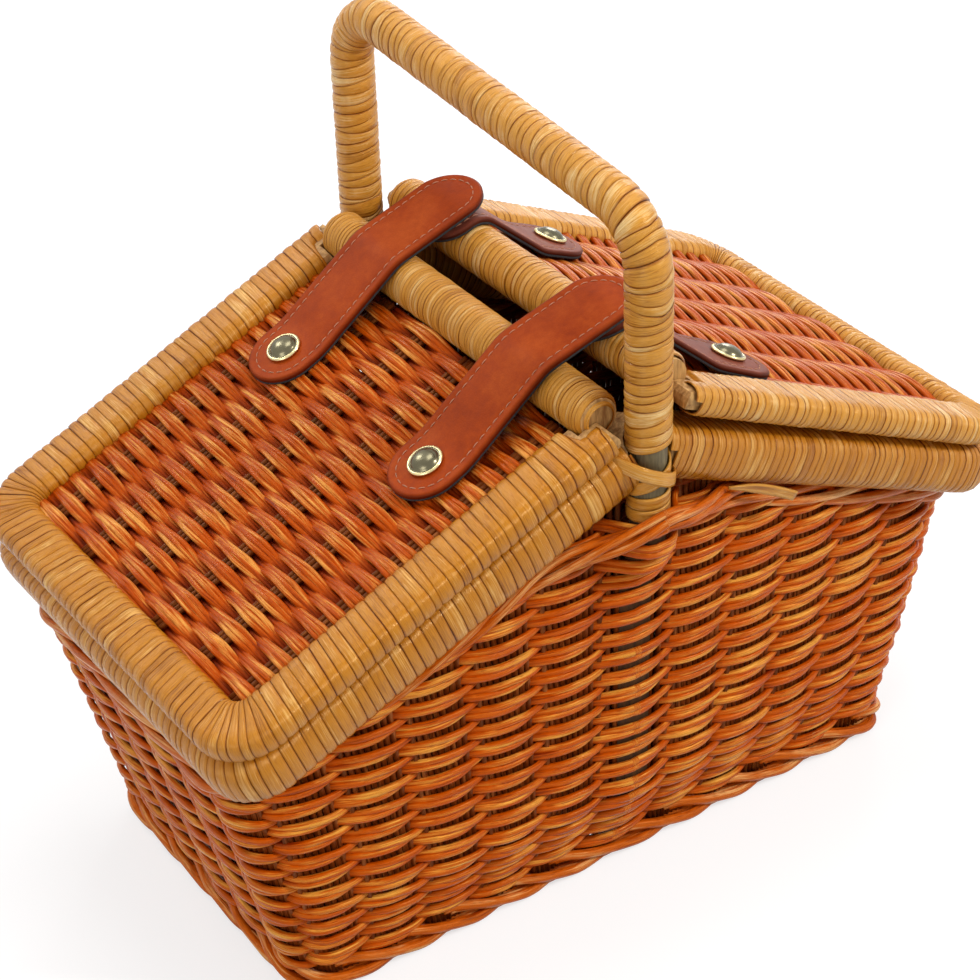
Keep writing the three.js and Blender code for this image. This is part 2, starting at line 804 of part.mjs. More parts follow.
// A flat strap with round ends along a front-view route, written in its lid's own plane.
function strap(route, [side, tilt, peak], splay) {
  const path = new THREE.Path().setFromPoints(route);
  const total = path.getLength();
  const radius = strapWidth / 2;
  const fromEnd = Array.from({ length: endSteps }, (_, k) => {
    return radius * (1 - Math.cos((quarter * (k + 0.5)) / (endSteps - 0.5)));
  });
  const lengths = path.getCurveLengths();
  const middle = lengths.filter((length) => length > radius + 1 && length < total - radius - 1);
  const stations = [...fromEnd, ...middle, ...fromEnd.map((length) => total - length).reverse()];
  const points = stations.map((length) => path.getPoint(length / total));
  const back = planeMatrix(side, tilt, peak).invert();
  const place = (point, across) => {
    const local = new THREE.Vector3(point.x, 0, point.y).applyMatrix4(back);
    const drift = Math.tan(splay) * Math.max(local.x - barReach, -barReach);
    return local.setY(drift - across);
  };
  const rings = ringsAlong(points, place, (i) => {
    const left = Math.min(stations[i], total - stations[i]);
    const half = left < radius ? Math.sqrt(radius ** 2 - (radius - left) ** 2) : radius;
    return band(half, strapThickness / 2);
  });
  return closed(loft(rings));
}

// Assembly

function piece(name, body, finish) {
  const geometry = body instanceof THREE.BufferGeometry ? body : geometryOf(body);
  const mesh = new THREE.Mesh(geometry, new THREE.MeshStandardMaterial(finishes[finish]));
  mesh.name = name;
  return mesh;
}

function lid(name, plane, endBreadth, strapName, straps) {
  const group = new THREE.Group();
  group.applyMatrix4(planeMatrix(...plane));
  const rivets = straps.map(({ end, across, splay }) => {
    const reach = end - strapWidth / 2;
    return { reach, across: across + Math.tan(splay) * (reach - barReach) };
  });
  group.add(piece(`${name}_rail_wrap`, lidRailWrap(endBreadth), "cane"));
  group.add(piece(`${name}_rail_core`, lidRailCore(endBreadth), "pole"));
  group.add(piece(`${name}_hinge_bar_wrap`, barWrap(), "cane"));
  group.add(piece(`${name}_hinge_bar_core`, barCore(), "pole"));
  group.add(piece(`${name}_weave`, lidWeave(endBreadth, rivets), "weave"));
  straps.forEach(({ place, route, across, splay, finish }, i) => {
    const leather = solid(strap(route, plane, splay)).translate([0, across, 0]);
    const { reach, across: rivetAcross } = rivets[i];
    group.add(piece(`${strapName}_strap_${place}`, leather.subtract(rivetHole(rivets[i])), finish));
    const top = piece(`${name}_cap_${place}`, cap(), "metal");
    const shank = piece(`${name}_rivet_${place}`, rivet(), "metal");
    for (const part of [top, shank]) {
      part.position.set(reach, rivetAcross, capSeat);
      group.add(part);
    }
  });
  return group;
}

const basket = new THREE.Group();
basket.add(piece("foot_border", foot(), "rods"));
basket.add(piece("floor_weave", floor(), "weave"));
basket.add(piece("wall_weave", wall(), "weave"));
basket.add(piece("top_border", topBorder(), "rods"));
for (const [name, side] of [["left", -1], ["right", 1]]) {
  basket.add(piece(`rim_wrap_${name}`, rimWrap(side), "cane"));
  basket.add(piece(`rim_core_${name}`, rimCore(side), "pole"));
}
basket.add(piece("handle_pole", pole(0), "pole"));
basket.add(piece("handle_wrap", handleWrap(), "cane"));
for (const [name, side] of [["front", -1], ["back", 1]]) {
  const strip = closed(lashing(side));
  console.log(`handle_lashing_${name}: least gap to itself ${leastGap(lashing(side)).toFixed(2)} mm`);
  basket.add(piece(`handle_lashing_${name}`, strip, "cane"));
}

const upper = { route: upperStrapRoute(), end: upperStrapEnd, splay: 0, finish: "leather" };
const lower = { route: lowerStrapRoute(), end: lowerStrapEnd, finish: "darkLeather" };
basket.add(
  lid("left_lid", leftPlane, leftLidEndBreadth, "upper", [
    { ...upper, place: "front", across: strapSpacing / 2 },
    { ...upper, place: "back", across: -strapSpacing / 2 },
  ]),
  lid("right_lid", rightPlane, rightLidEndBreadth, "lower", [
    { ...lower, place: "front", across: -strapSpacing / 2, splay: -frontSplay },
    { ...lower, place: "back", across: strapSpacing / 2, splay: backSplay },
  ]),
);

export default basket;
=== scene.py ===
import math

import bpy
import numpy as np
from mathutils import Matrix, Vector


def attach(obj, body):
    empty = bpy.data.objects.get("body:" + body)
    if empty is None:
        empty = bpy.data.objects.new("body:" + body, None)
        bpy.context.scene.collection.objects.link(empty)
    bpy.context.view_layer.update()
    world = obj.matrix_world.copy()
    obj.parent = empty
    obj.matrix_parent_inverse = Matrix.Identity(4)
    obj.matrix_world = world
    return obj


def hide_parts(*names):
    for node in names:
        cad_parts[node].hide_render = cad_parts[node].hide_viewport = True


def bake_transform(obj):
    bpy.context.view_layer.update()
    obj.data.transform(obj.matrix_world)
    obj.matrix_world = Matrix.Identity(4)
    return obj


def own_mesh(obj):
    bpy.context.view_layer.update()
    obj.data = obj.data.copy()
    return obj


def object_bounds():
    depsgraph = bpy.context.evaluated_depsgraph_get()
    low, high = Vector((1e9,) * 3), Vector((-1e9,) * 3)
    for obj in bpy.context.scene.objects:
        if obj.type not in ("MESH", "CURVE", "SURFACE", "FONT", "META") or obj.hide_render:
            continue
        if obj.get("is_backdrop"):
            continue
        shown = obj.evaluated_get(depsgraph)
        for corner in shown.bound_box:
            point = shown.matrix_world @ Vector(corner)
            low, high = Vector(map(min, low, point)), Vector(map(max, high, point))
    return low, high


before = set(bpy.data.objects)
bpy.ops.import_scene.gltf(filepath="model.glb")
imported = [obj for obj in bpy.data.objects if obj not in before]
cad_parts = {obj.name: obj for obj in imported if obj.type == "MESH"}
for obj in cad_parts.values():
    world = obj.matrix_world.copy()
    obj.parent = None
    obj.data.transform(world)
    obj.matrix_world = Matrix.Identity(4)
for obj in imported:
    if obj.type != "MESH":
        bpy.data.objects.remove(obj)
cad_low, cad_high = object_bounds()
scene = bpy.context.scene
rng = np.random.default_rng(11)
TAU = 2 * np.pi

# Sizes, millimetres, as in the part's source
HALF_LENGTH, HALF_WIDTH, WALL_CORNER, WALL = 130.0, 68.0, 16.0, 8.0
FOOT_HEIGHT, FLOOR_THICKNESS = 8.0, 6.0
RIM_LENGTH, RIM_WIDTH, RIM_END, RIM_PEAK, RIM_THICKNESS = 320.0, 180.0, 103.2, 173.7, 19.5
SLOPE = math.atan((RIM_PEAK - RIM_END) / (RIM_LENGTH / 2))
RIM_TOP = RIM_PEAK + RIM_THICKNESS / math.cos(SLOPE)
RIM_REACH = (RIM_LENGTH / 2 + RIM_THICKNESS / 2 * math.sin(SLOPE)) / math.cos(SLOPE)
END_FLARE = (RIM_LENGTH / 2 - 5 - HALF_LENGTH) / RIM_END
SIDE_FLARE = (RIM_WIDTH / 2 - 18 - HALF_WIDTH) / RIM_PEAK
WALL_BOW, FULL_BOW_HEIGHT = 12.0, 45
BORDER_RADIUS, BORDER_NECK = 4.5, 3.0
POST_OFFSET, HANDLE_HEIGHT, HANDLE_CLIMB, HANDLE_BEND, HANDLE_RADIUS = 86.6, 274.6, 7.3, 20.0, 8.0
POST_BREADTH, POST_DEPTH, CORE_RADIUS = 7.0, 2.3, 6.2
POST_FOOT, POST_LOW, POST_HIGH = 18, RIM_PEAK - 43.7, RIM_PEAK - 21.7
WRAP_FOOT = RIM_PEAK + 8.3 + 2.35
LID_REACH, LID_WIDTH, LID_THICKNESS, LID_REST, LID_SIDE = 175.0, 183.0, 11.0, 0.4, 20.6
RIGHT_RISE = 5.0
RIGHT_SLOPE = SLOPE + math.asin(RIGHT_RISE * math.cos(SLOPE) / LID_REACH)
BAR_REACH, BAR_RADIUS, BAR_HEIGHT, BAR_HALF = 11.3, 8.75, 9.15, 79.2
HALF_STRAP, STRAP_THICKNESS, STRAP_LEVEL, STRAP_OFFSET = 14.0, 2.6, 10.0, 45.0
LOWER_STRAPS = (("front", -STRAP_OFFSET, -math.radians(12)), ("back", STRAP_OFFSET, math.radians(6)))
LEFT_CAP_REACH, RIGHT_CAP_REACH = 59.0, 58.0

# Weave and leather, millimetres, for the looks only
STAKES, STAKE_PITCH, STAKE_SPACING, POST_COLUMN = 34, 25, 2.3, 29.0
ROW_PITCH, FIRST_ROW = 4.1, 11.5
LID_STAKE_PITCH, LID_ROW_PITCH = 25.2, 3.65
BORDER_DROP, BORDER_TWIST = 0.8, 120
PEAK_ROUNDING = 9.0
STITCH_INSET, STITCH_PITCH = 3.4, 3.3
LEATHER_UNDERSIDE, FELT_TOP = -0.35, -0.38
TIP_FROM = 9.0
STEPS_PER_STAKE, STEPS_PER_TURN = 12, 30


def smoothstep(x, low, high):
    t = np.clip((x - low) / (high - low), 0, 1)
    return t * t * (3 - 2 * t)


def squared(wave, sharpness):
    """A wave between -1 and 1 with broader tops."""
    return np.tanh(sharpness * wave) / np.tanh(sharpness)


def unit(v):
    return v / np.maximum(np.linalg.norm(v, axis=-1, keepdims=True), 1e-9)


def turned(v, angle):
    c, s = math.cos(angle), math.sin(angle)
    return np.array([v[0] * c - v[1] * s, v[0] * s + v[1] * c])


def stack(*parts):
    """Numbers and arrays, side by side along a new last axis."""
    return np.stack(np.broadcast_arrays(*parts), -1)


def circle(count):
    return TAU * np.arange(count) / count


def lengths_of(path):
    """How far along a path each of its points lies."""
    steps = np.linalg.norm(np.diff(path, axis=0), axis=1)
    return np.append(0, np.cumsum(steps))


def follow(s, at, line):
    """The point of a line at s, when its own points lie at the lengths in at."""
    return np.stack([np.interp(s, at, column) for column in line.T], -1)


def heading(s, at, line, reach):
    """The direction of a line at s, over reach to each side."""
    return unit(follow(s + reach, at, line) - follow(s - reach, at, line))


def smoothed(values, reach):
    """A running mean over reach values to each side."""
    count = 2 * reach + 1
    return np.convolve(np.pad(values, reach, mode="edge"), np.ones(count) / count, "valid")


def wander(count, knots, amount):
    """A smooth random line of count values."""
    at = np.linspace(0, count - 1, max(int(knots), 2))
    values = rng.normal(0, amount, len(at))
    return smoothed(np.interp(np.arange(count), at, values), 2)


# Meshes

def add_object(name, data):
    thing = bpy.data.objects.new(name, data)
    scene.collection.objects.link(thing)
    return thing


class Skin:
    """Rods and ribbons gathered into one mesh, with what the material reads at each point."""

    def __init__(self):
        self.points, self.quads, self.fans, self.marks, self.count = [], [], [], [], 0

    def grid(self, points, along, around, tone, depth, wrap=False, loop=False, caps=(True, True)):
        """Rings of points. wrap closes each ring, loop joins the last one to the first and caps closes
        the first and the last."""
        rows, columns = points.shape[:2]
        index = np.arange(rows * columns).reshape(rows, columns) + self.count
        a = np.concatenate([index, index[:1]]) if loop else index
        b = np.concatenate([a, a[:, :1]], axis=1) if wrap else a
        self.quads.append(stack(b[:-1, :-1], b[:-1, 1:], b[1:, 1:], b[1:, :-1]).reshape(-1, 4))
        if wrap and not loop:
            self.fans += [index[0][::-1]] * caps[0] + [index[-1]] * caps[1]
        self.points.append(points.reshape(-1, 3))
        self.marks.append(stack(along, around, tone, depth).reshape(-1, 4))
        self.count += rows * columns

    def build(self, name, material, matrix=None):
        points = np.concatenate(self.points)
        if matrix is not None:
            points = points @ matrix[:3, :3].T + matrix[:3, 3]
        quads = np.concatenate(self.quads)
        loops = np.concatenate([quads.ravel(), *self.fans])
        sizes = np.array([4] * len(quads) + [len(fan) for fan in self.fans], np.int32)
        mesh = bpy.data.meshes.new(name)
        mesh.vertices.add(len(points))
        mesh.vertices.foreach_set("co", (points * 0.001).astype(np.float32).ravel())
        mesh.loops.add(len(loops))
        mesh.loops.foreach_set("vertex_index", loops.astype(np.int32))
        mesh.polygons.add(len(sizes))
        mesh.polygons.foreach_set("loop_start", (np.cumsum(sizes) - sizes).astype(np.int32))
        mesh.polygons.foreach_set("use_smooth", np.ones(len(sizes), bool))
        mesh.update(calc_edges=True)
        marks = np.concatenate(self.marks).astype(np.float32)
        strand = mesh.attributes.new("strand", "FLOAT_VECTOR", "POINT")
        strand.data.foreach_set("vector", marks[:, :3].ravel())
        mesh.attributes.new("depth", "FLOAT", "POINT").data.foreach_set("value", marks[:, 3].copy())
        mesh.materials.append(material)
        return add_object(name, mesh)


def rod(skin, path, outward, radius, flat=1.0, depth=0.0, sides=8, loop=False):
    """A rod along a path. flat squeezes it along the outward direction, and depth is how far it stands out,
    from which the rod materials paint shade and light.
    """
    tangent = unit(np.roll(path, -1, 0) - np.roll(path, 1, 0) if loop else np.gradient(path, axis=0))
    side = unit(np.cross(tangent, np.broadcast_to(outward, path.shape)))
    out = np.cross(side, tangent)
    angle = circle(sides)
    ring = out[:, None] * (flat * np.cos(angle))[:, None] + side[:, None] * np.sin(angle)[:, None]
    radius = np.broadcast_to(radius, len(path))[:, None, None]
    depth = np.broadcast_to(depth, len(path))[:, None]
    tone = rng.uniform(0, 100)
    along = lengths_of(path)[:, None]
    skin.grid(path[:, None] + radius * ring, along, angle / TAU, tone, depth, wrap=True, loop=loop)


# Points across a ribbon: each edge, then the crown
STRIP = np.array([0.0, 0.02, 0.1, 0.3, 0.5, 0.7, 0.9, 0.98, 1.0])


def ribbon(skin, surface, start, stop, pitch, crown=0.4, skirt=0.9, starts=1, uneven=0.12, hand=1):
    """Flat cane wound round a surface(s, turn). crown is the rise of its middle, skirt the depth of its
    edges and uneven how much its breadth varies."""
    turns = (stop - start) / (pitch * starts)
    t = np.linspace(0, turns, int(turns * STEPS_PER_TURN) + 1)
    knots = np.arange(-2, int(np.ceil(turns * starts)) + 4, 0.5)
    shift = rng.normal(0, uneven, len(knots))
    leans, spots = np.arange(0, turns + 2, 0.7), np.arange(0, turns + 2, 0.8)
    order = slice(None, None, -hand)
    for n in range(starts):
        edge = starts * t + n
        low = start + pitch * (edge + np.interp(edge, knots, shift))
        high = start + pitch * (edge + 1 + np.interp(edge + 1, knots, shift))
        s = np.clip(low[:, None] + (high - low)[:, None] * STRIP, start - 1, stop + 1)
        points, normals = surface(s, hand * np.broadcast_to(t[:, None], s.shape))
        lift = crown * (1 - np.abs(2 * STRIP - 1) ** 2.6) - crown
        lean = np.interp(t, leans, rng.normal(0, 0.16, len(leans)))
        lift = lift + lean[:, None] * (STRIP - 0.5) - 0.1
        lift = np.where((STRIP == 0) | (STRIP == 1), -skirt, lift)
        wobble = wander(len(t), turns * 1.6, 0.06)
        points = points + normals * (lift + wobble[:, None])[..., None]
        shade = np.interp(t, spots, rng.uniform(0, 1, len(spots)))[:, None]
        tone = 10 * rng.uniform(0, 9) + shade
        skin.grid(points[:, order], t[:, None] * 60, STRIP[order], tone, shade)


# Materials

WHITE = (1, 1, 1)


def srgb(colour):
    """A colour read from a picture, as the shader wants it."""
    return tuple(((c / 255 + 0.055) / 1.055) ** 2.4 if c > 10 else c / 255 / 12.92 for c in colour)


class Shader:
    """The nodes of a material, or of the world, in the making."""

    def __init__(self, name, world=None):
        self.owner = world or bpy.data.materials.new(name)
        self.owner.use_nodes = True
        self.tree = self.owner.node_tree

    def node(self, kind, inputs=None, **settings):
        made = self.tree.nodes.new("ShaderNode" + kind)
        for key, value in settings.items():
            setattr(made, key, value)
        self.feed(made, inputs or {})
        return made

    def feed(self, node, inputs):
        for key, value in inputs.items():
            if isinstance(value, bpy.types.NodeSocket):
                self.tree.links.new(value, node.inputs[key])
            else:
                node.inputs[key].default_value = value

    def place(self):
        return self.node("TexCoord").outputs["Object"]

    def strand(self, scale=None):
        """How far along and around the rod or ribbon, and a number of its own."""
        vector = self.node("Attribute", attribute_name="strand").outputs["Vector"]
        if scale is None:
            return vector
        return self.node("VectorMath", {0: vector, 1: scale}, operation="MULTIPLY").outputs[0]

    def part(self, axis):
        return self.node("SeparateXYZ", {0: self.strand()}).outputs[axis]

    def depth(self):
        """0 where a rod is sunk in the weave, 1 where it stands out; the rod materials paint shade and light
        from it.
        """
        return self.node("Attribute", attribute_name="depth").outputs["Fac"]

    def noise(self, vector, scale, detail, rough=0.55):
        inputs = {"Vector": vector, "Scale": scale, "Detail": detail, "Roughness": rough}
        return self.node("TexNoise", inputs).outputs["Fac"]

    def stretched(self, scale):
        return self.node("Mapping", {"Vector": self.place(), "Scale": scale}).outputs[0]

    def fibre(self, scale, detail=2.0, rough=0.55):
        """Noise drawn out along each rod or ribbon."""
        return self.noise(self.strand(scale), 1.0, detail, rough)

    def ramp(self, value, *stops):
        made = self.node("ValToRGB", {0: value})
        ramp = made.color_ramp
        while len(ramp.elements) < len(stops):
            ramp.elements.new(1.0)
        for element, (at, colour) in zip(ramp.elements, stops):
            element.position = at
            element.color = (*colour, 1.0)
        return made.outputs["Color"]

    def mix(self, factor, a, b, blend="MIX"):
        a, b = (c if isinstance(c, bpy.types.NodeSocket) else (*c, 1.0) for c in (a, b))
        return self.node("Mix", {0: factor, 6: a, 7: b}, data_type="RGBA", blend_type=blend).outputs[2]

    def times(self, colour, tint, factor=1.0):
        return self.mix(factor, colour, tint, "MULTIPLY")

    def math(self, operation, a, b=0.0):
        return self.node("Math", {0: a, 1: b}, operation=operation).outputs[0]

    def plus(self, base, value, share):
        return self.math("ADD", base, self.math("MULTIPLY", value, share))

    def both(self, a, share_a, b, share_b):
        return self.plus(self.math("MULTIPLY", a, share_a), b, share_b)

    def bump(self, height, distance, strength):
        return self.node("Bump", {"Height": height, "Distance": distance, "Strength": strength}).outputs[0]

    def seen(self, base, share):
        """base, and share more for the rays that make a thing seen."""
        rays = self.node("LightPath").outputs
        for ray in ("Is Camera Ray", "Is Glossy Ray", "Is Transmission Ray"):
            inputs = {0: rays[ray], 1: share, 2: base}
            base = self.node("Math", inputs, operation="MULTIPLY_ADD", use_clamp=True).outputs[0]
        return base

    def finish(self, last="Principled BSDF", **inputs):
        self.feed(self.tree.nodes[last], {key.replace("_", " "): value for key, value in inputs.items()})
        return self.owner


def rod_material(name, *colours, shade=0.5, gloss=0.4):
    """Split rattan, with painted shade on its sunk parts and painted light on its raised ones. shade is how
    bright the sunk parts stay under the painted shade.
    """
    dark, middle, light = map(srgb, colours)
    s = Shader(name)
    patch = s.fibre((0.045, 0.9, 3.1))
    streak = s.fibre((0.05, 9.0, 7.7), 4.0, 0.7)
    grain = s.fibre((0.25, 26.0, 5.3), 3.0, 0.6)
    value = s.both(patch, 0.50, streak, 0.55)
    # Painted light: where a rod stands out, its colour leans towards the light end of the ramp.
    value = s.plus(value, s.math("SUBTRACT", s.depth(), 0.5), 0.09)
    colour = s.ramp(value, (0.39, dark), (0.49, middle), (0.56, middle), (0.67, light))
    # Painted shade: where a rod is sunk in the weave, its colour is darkened and reddened.
    sunk = (shade * 0.5, shade * 0.26, shade * 0.2)
    colour = s.times(colour, s.ramp(s.depth(), (0.0, sunk), (0.55, WHITE)))
    colour = s.times(colour, s.ramp(grain, (0.34, (0.5, 0.34, 0.22)), (0.5, WHITE)), 0.85)
    rough = s.plus(0.14, streak, 0.26)
    rough = s.plus(rough, s.math("SUBTRACT", 1.0, s.depth()), 0.4)
    height = s.both(streak, 0.6, grain, 0.4)
    return s.finish(Base_Color=colour, Roughness=rough, Specular_IOR_Level=gloss,
                    Specular_Tint=(1.0, 0.58, 0.18, 1.0), Normal=s.bump(height, 0.0003, 0.6))


def cane_material(name, *colours):
    """Flat cane with painted shade as a dark seam at each edge, where the turns meet, weaker on some turns,
    and pale streaks that are partly painted highlight.
    """
    dark, middle, light = map(srgb, colours)
    s = Shader(name)
    patch = s.fibre((0.05, 0.5, 2.3))
    streak = s.fibre((0.05, 9.0, 4.7), 4.0, 0.65)
    grain = s.fibre((0.2, 34.0, 9.1), 2.0, 0.6)
    value = s.plus(s.both(patch, 0.40, streak, 0.45), s.depth(), 0.15)
    # The pale end of this ramp is partly the cane's own pale streaks and partly painted highlight.
    colour = s.ramp(value, (0.32, dark), (0.45, middle), (0.54, middle), (0.71, light))
    # Painted shade: a dark seam at each edge of a turn, in the gap where the turns meet, weaker on some
    # turns.
    edge = s.math("ABSOLUTE", s.math("SUBTRACT", s.part(1), 0.5))
    seam = s.ramp(edge, (0.36, WHITE), (0.45, (0.62, 0.42, 0.24)), (0.495, (0.18, 0.08, 0.03)))
    share = s.ramp(s.fibre((0.02, 0.0, 1.7)), (0.40, (0.15, 0.15, 0.15)), (0.56, WHITE))
    colour = s.mix(share, colour, s.times(colour, seam))
    colour = s.times(colour, s.ramp(grain, (0.3, (0.66, 0.48, 0.30)), (0.5, WHITE)), 0.8)
    height = s.both(streak, 0.6, grain, 0.4)
    return s.finish(Base_Color=colour, Roughness=s.plus(0.11, streak, 0.22), Specular_IOR_Level=0.7,
                    Specular_Tint=(1.0, 0.72, 0.36, 1.0), Normal=s.bump(height, 0.0004, 0.9))


def wood_material(name, *colours, darkened_in_wall=False):
    """Bare cane. It can be darkened and reddened towards the weave's colour up to the border's height."""
    dark, light = map(srgb, colours)
    s = Shader(name)
    streak = s.noise(s.stretched((40.0, 40.0, 6.0)), 14.0, 5.0, 0.65)
    colour = s.ramp(streak, (0.35, dark), (0.65, light))
    if darkened_in_wall:
        height = s.math("MULTIPLY", s.part(0), 0.005)
        colour = s.times(colour, s.ramp(height, (0.76, (0.5, 0.26, 0.12)), (0.84, WHITE)))
    return s.finish(Base_Color=colour, Roughness=0.62, Normal=s.bump(streak, 0.0004, 0.5))


def leather_material(name, *colours):
    dark, middle, light = map(srgb, colours)
    s = Shader(name)
    place = s.place()
    voronoi = s.node("TexVoronoi", {"Vector": place, "Scale": 1100.0}, feature="DISTANCE_TO_EDGE")
    cells = voronoi.outputs["Distance"]
    pores = s.noise(place, 2300.0, 2.0, 0.6)
    cloud = s.noise(place, 55.0, 4.0, 0.6)
    mottle = s.noise(place, 420.0, 3.0, 0.6)
    colour = s.ramp(s.both(cloud, 0.7, mottle, 0.3), (0.26, dark), (0.5, middle), (0.76, light))
    edge = s.ramp(s.depth(), (0.0, (0.35, 0.26, 0.24)), (0.22, (0.8, 0.76, 0.74)), (0.5, WHITE))
    colour = s.times(colour, edge)
    pits = s.ramp(s.math("MINIMUM", cells, 0.2), (0.0, (0.8, 0.74, 0.72)), (0.16, WHITE))
    colour = s.times(colour, pits, 0.5)
    height = s.plus(s.math("MINIMUM", cells, 0.25), pores, 0.3)
    return s.finish(Base_Color=colour, Roughness=s.plus(0.44, mottle, 0.18), Specular_IOR_Level=0.16,
                    Specular_Tint=(1.0, 0.6, 0.4, 1.0), Normal=s.bump(height, 0.0002, 0.35))


def felt_material():
    s = Shader("strap_felt")
    fuzz = s.noise(s.place(), 1500.0, 4.0, 0.7)
    colour = s.ramp(fuzz, (0.3, srgb((22, 24, 26))), (0.7, srgb((58, 60, 64))))
    return s.finish(Base_Color=colour, Roughness=0.95, Normal=s.bump(fuzz, 0.0004, 0.7))


def thread_material():
    s = Shader("thread")
    wave = s.node("TexWave", {"Vector": s.strand((1.0, 1.6, 0.0)), "Scale": 1.2}, bands_direction="DIAGONAL")
    twist = wave.outputs["Fac"]
    colour = s.ramp(twist, (0.2, srgb((150, 84, 58))), (0.8, srgb((206, 146, 112))))
    return s.finish(Base_Color=colour, Roughness=0.6, Normal=s.bump(twist, 0.0001, 0.5))


def metal_material():
    s = Shader("snap_metal")
    smear = s.noise(s.place(), 260.0, 3.0, 0.6)
    scratch = s.noise(s.stretched((900.0, 60.0, 300.0)), 1.0, 2.0)
    # Painted reflection: a dark centre stands for the dark surroundings the cap reflects, and a pale ring on
    # the rolled rim for a bright reflection.
    colour = s.mix(s.depth(), srgb((112, 106, 84)), srgb((222, 206, 154)))
    colour = s.times(colour, s.ramp(smear, (0.3, (0.55, 0.53, 0.5)), (0.6, WHITE)), 0.35)
    return s.finish(Base_Color=colour, Metallic=1.0, Roughness=s.plus(0.2, smear, 0.14),
                    Normal=s.bump(scratch, 0.00005, 0.2))


WEAVE = rod_material("weave_rods", (134, 36, 0), (200, 82, 0), (242, 168, 66))
STAKE = rod_material("stake_rods", (66, 20, 3), (112, 46, 8), (170, 96, 44), shade=0.8)
BORDER = rod_material("border_rods", (146, 50, 0), (204, 94, 10), (242, 182, 112))
LID_WEAVE = rod_material("lid_rods", (132, 36, 0), (188, 74, 0), (240, 166, 78), shade=1.3, gloss=0.3)
CANE = cane_material("wound_cane", (160, 94, 14), (216, 150, 54), (252, 222, 160))
# Painted shade: a darker, redder copy of the wound cane, for the rims under the lids and for the left lid's
# rail, which faces away from the key light.
SHADED_CANE = cane_material("rim_cane", (144, 76, 4), (198, 126, 26), (246, 198, 116))
POLE = wood_material("bare_pole", (70, 58, 36), (122, 108, 74), darkened_in_wall=True)
STUB = wood_material("bare_cane", (140, 92, 40), (212, 166, 100))
LEATHER = leather_material("strap_leather", (128, 40, 6), (160, 60, 12), (184, 82, 26))
# Painted reflection: the lower straps are the same leather as the upper ones, drawn darker and purplish for
# a grazing reflection.
SHEEN_LEATHER = leather_material("strap_leather_painted_sheen", (88, 38, 28), (124, 62, 46), (150, 84, 66))
FELT = felt_material()
THREAD = thread_material()
METAL = metal_material()


def put(skin, name, material, node=None, body="basket", matrix=None):
    thing = skin.build(name, material, matrix)
    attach(thing, body)
    if node:
        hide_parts(node)


# Tub

def wall_bow(x, z):
    reach = HALF_LENGTH + END_FLARE * z
    rise = smoothstep(z, FOOT_HEIGHT, FULL_BOW_HEIGHT)
    return WALL_BOW * rise * (1 - np.minimum(np.abs(x) / reach, 1) ** 2.4)


def wall_point(k, z, out=0.0):
    """A point of the wall's outer face moved out by out, k stakes round from the front's middle."""
    k, z, out = np.broadcast_arrays(k, z, out)
    quarter = STAKES / 4
    k = np.mod(k, STAKES)
    turn = np.floor(k / quarter).astype(int)
    t = np.where(turn % 2 == 0, k - turn * quarter, (turn + 1) * quarter - k)
    long, wide = HALF_LENGTH + END_FLARE * z, HALF_WIDTH + SIDE_FLARE * z
    straight, arc = long - WALL_CORNER, WALL_CORNER * np.pi / 2
    total = straight + arc + wide - WALL_CORNER
    half = POST_COLUMN / 2
    s = np.where(t < 0.5, POST_COLUMN * t, half + (t - 0.5) * (total - half) / (quarter - 0.5))
    phi = np.clip((s - straight) / WALL_CORNER, 0, np.pi / 2)
    nx, ny = np.sin(phi), -np.cos(phi)
    x = np.minimum(s, straight) + WALL_CORNER * nx
    y = -(wide - WALL_CORNER) + WALL_CORNER * ny + np.maximum(s - straight - arc, 0)
    y = y - wall_bow(x, z)
    mx = np.where(turn >= 2, -1.0, 1.0)
    my = np.where((turn == 1) | (turn == 2), -1.0, 1.0)
    normal = stack(mx * nx, my * ny, 0.0)
    return stack(mx * x, my * y, z) + out[..., None] * normal, normal


def rim_underside(x):
    return RIM_PEAK - np.abs(x) * math.tan(SLOPE)


def near_post(x, reach):
    return 1 - smoothstep(np.abs(x), CORE_RADIUS / 2, reach)


def border_height(x):
    """Middle of the roll of rods under the rim, rounded off at the peak."""
    roof = rim_underside(np.hypot(x, PEAK_ROUNDING))
    return roof - BORDER_RADIUS / math.cos(SLOPE) - 0.6 - BORDER_DROP * near_post(x - 2, 34)


def runs(mask):
    """Stretches of a closed row where mask holds, as indices."""
    if mask.all():
        return [slice(None)]
    first = int(np.argmin(mask))
    order = (np.arange(len(mask)) + first) % len(mask)
    kept = mask[order]
    cuts = np.flatnonzero(np.diff(np.concatenate([[0], kept.astype(int), [0]])))
    return [order[a:b] for a, b in zip(cuts[::2], cuts[1::2]) if b - a > 3]


def wall_middle(z):
    return HALF_WIDTH + SIDE_FLARE * z + wall_bow(0.0, z) - WALL / 2


def post_section(z):
    """Middle, half breadth and half depth of the pole at z."""
    lean = smoothstep(z, POST_LOW, POST_HIGH)
    middle = wall_middle(z) + (POST_OFFSET - wall_middle(z)) * lean
    return middle, *(low + (CORE_RADIUS - low) * lean for low in (POST_BREADTH, POST_DEPTH))


def post_bow(x, z):
    """How far a weaver that passes in front of the pole stands out of the wall."""
    middle, _, deep = post_section(z)
    need = middle + deep + 1.6 - (wall_middle(z) + WALL / 2 - 0.4)
    return np.maximum(need, 0) * (1 - smoothstep(np.abs(x), 3, 17))


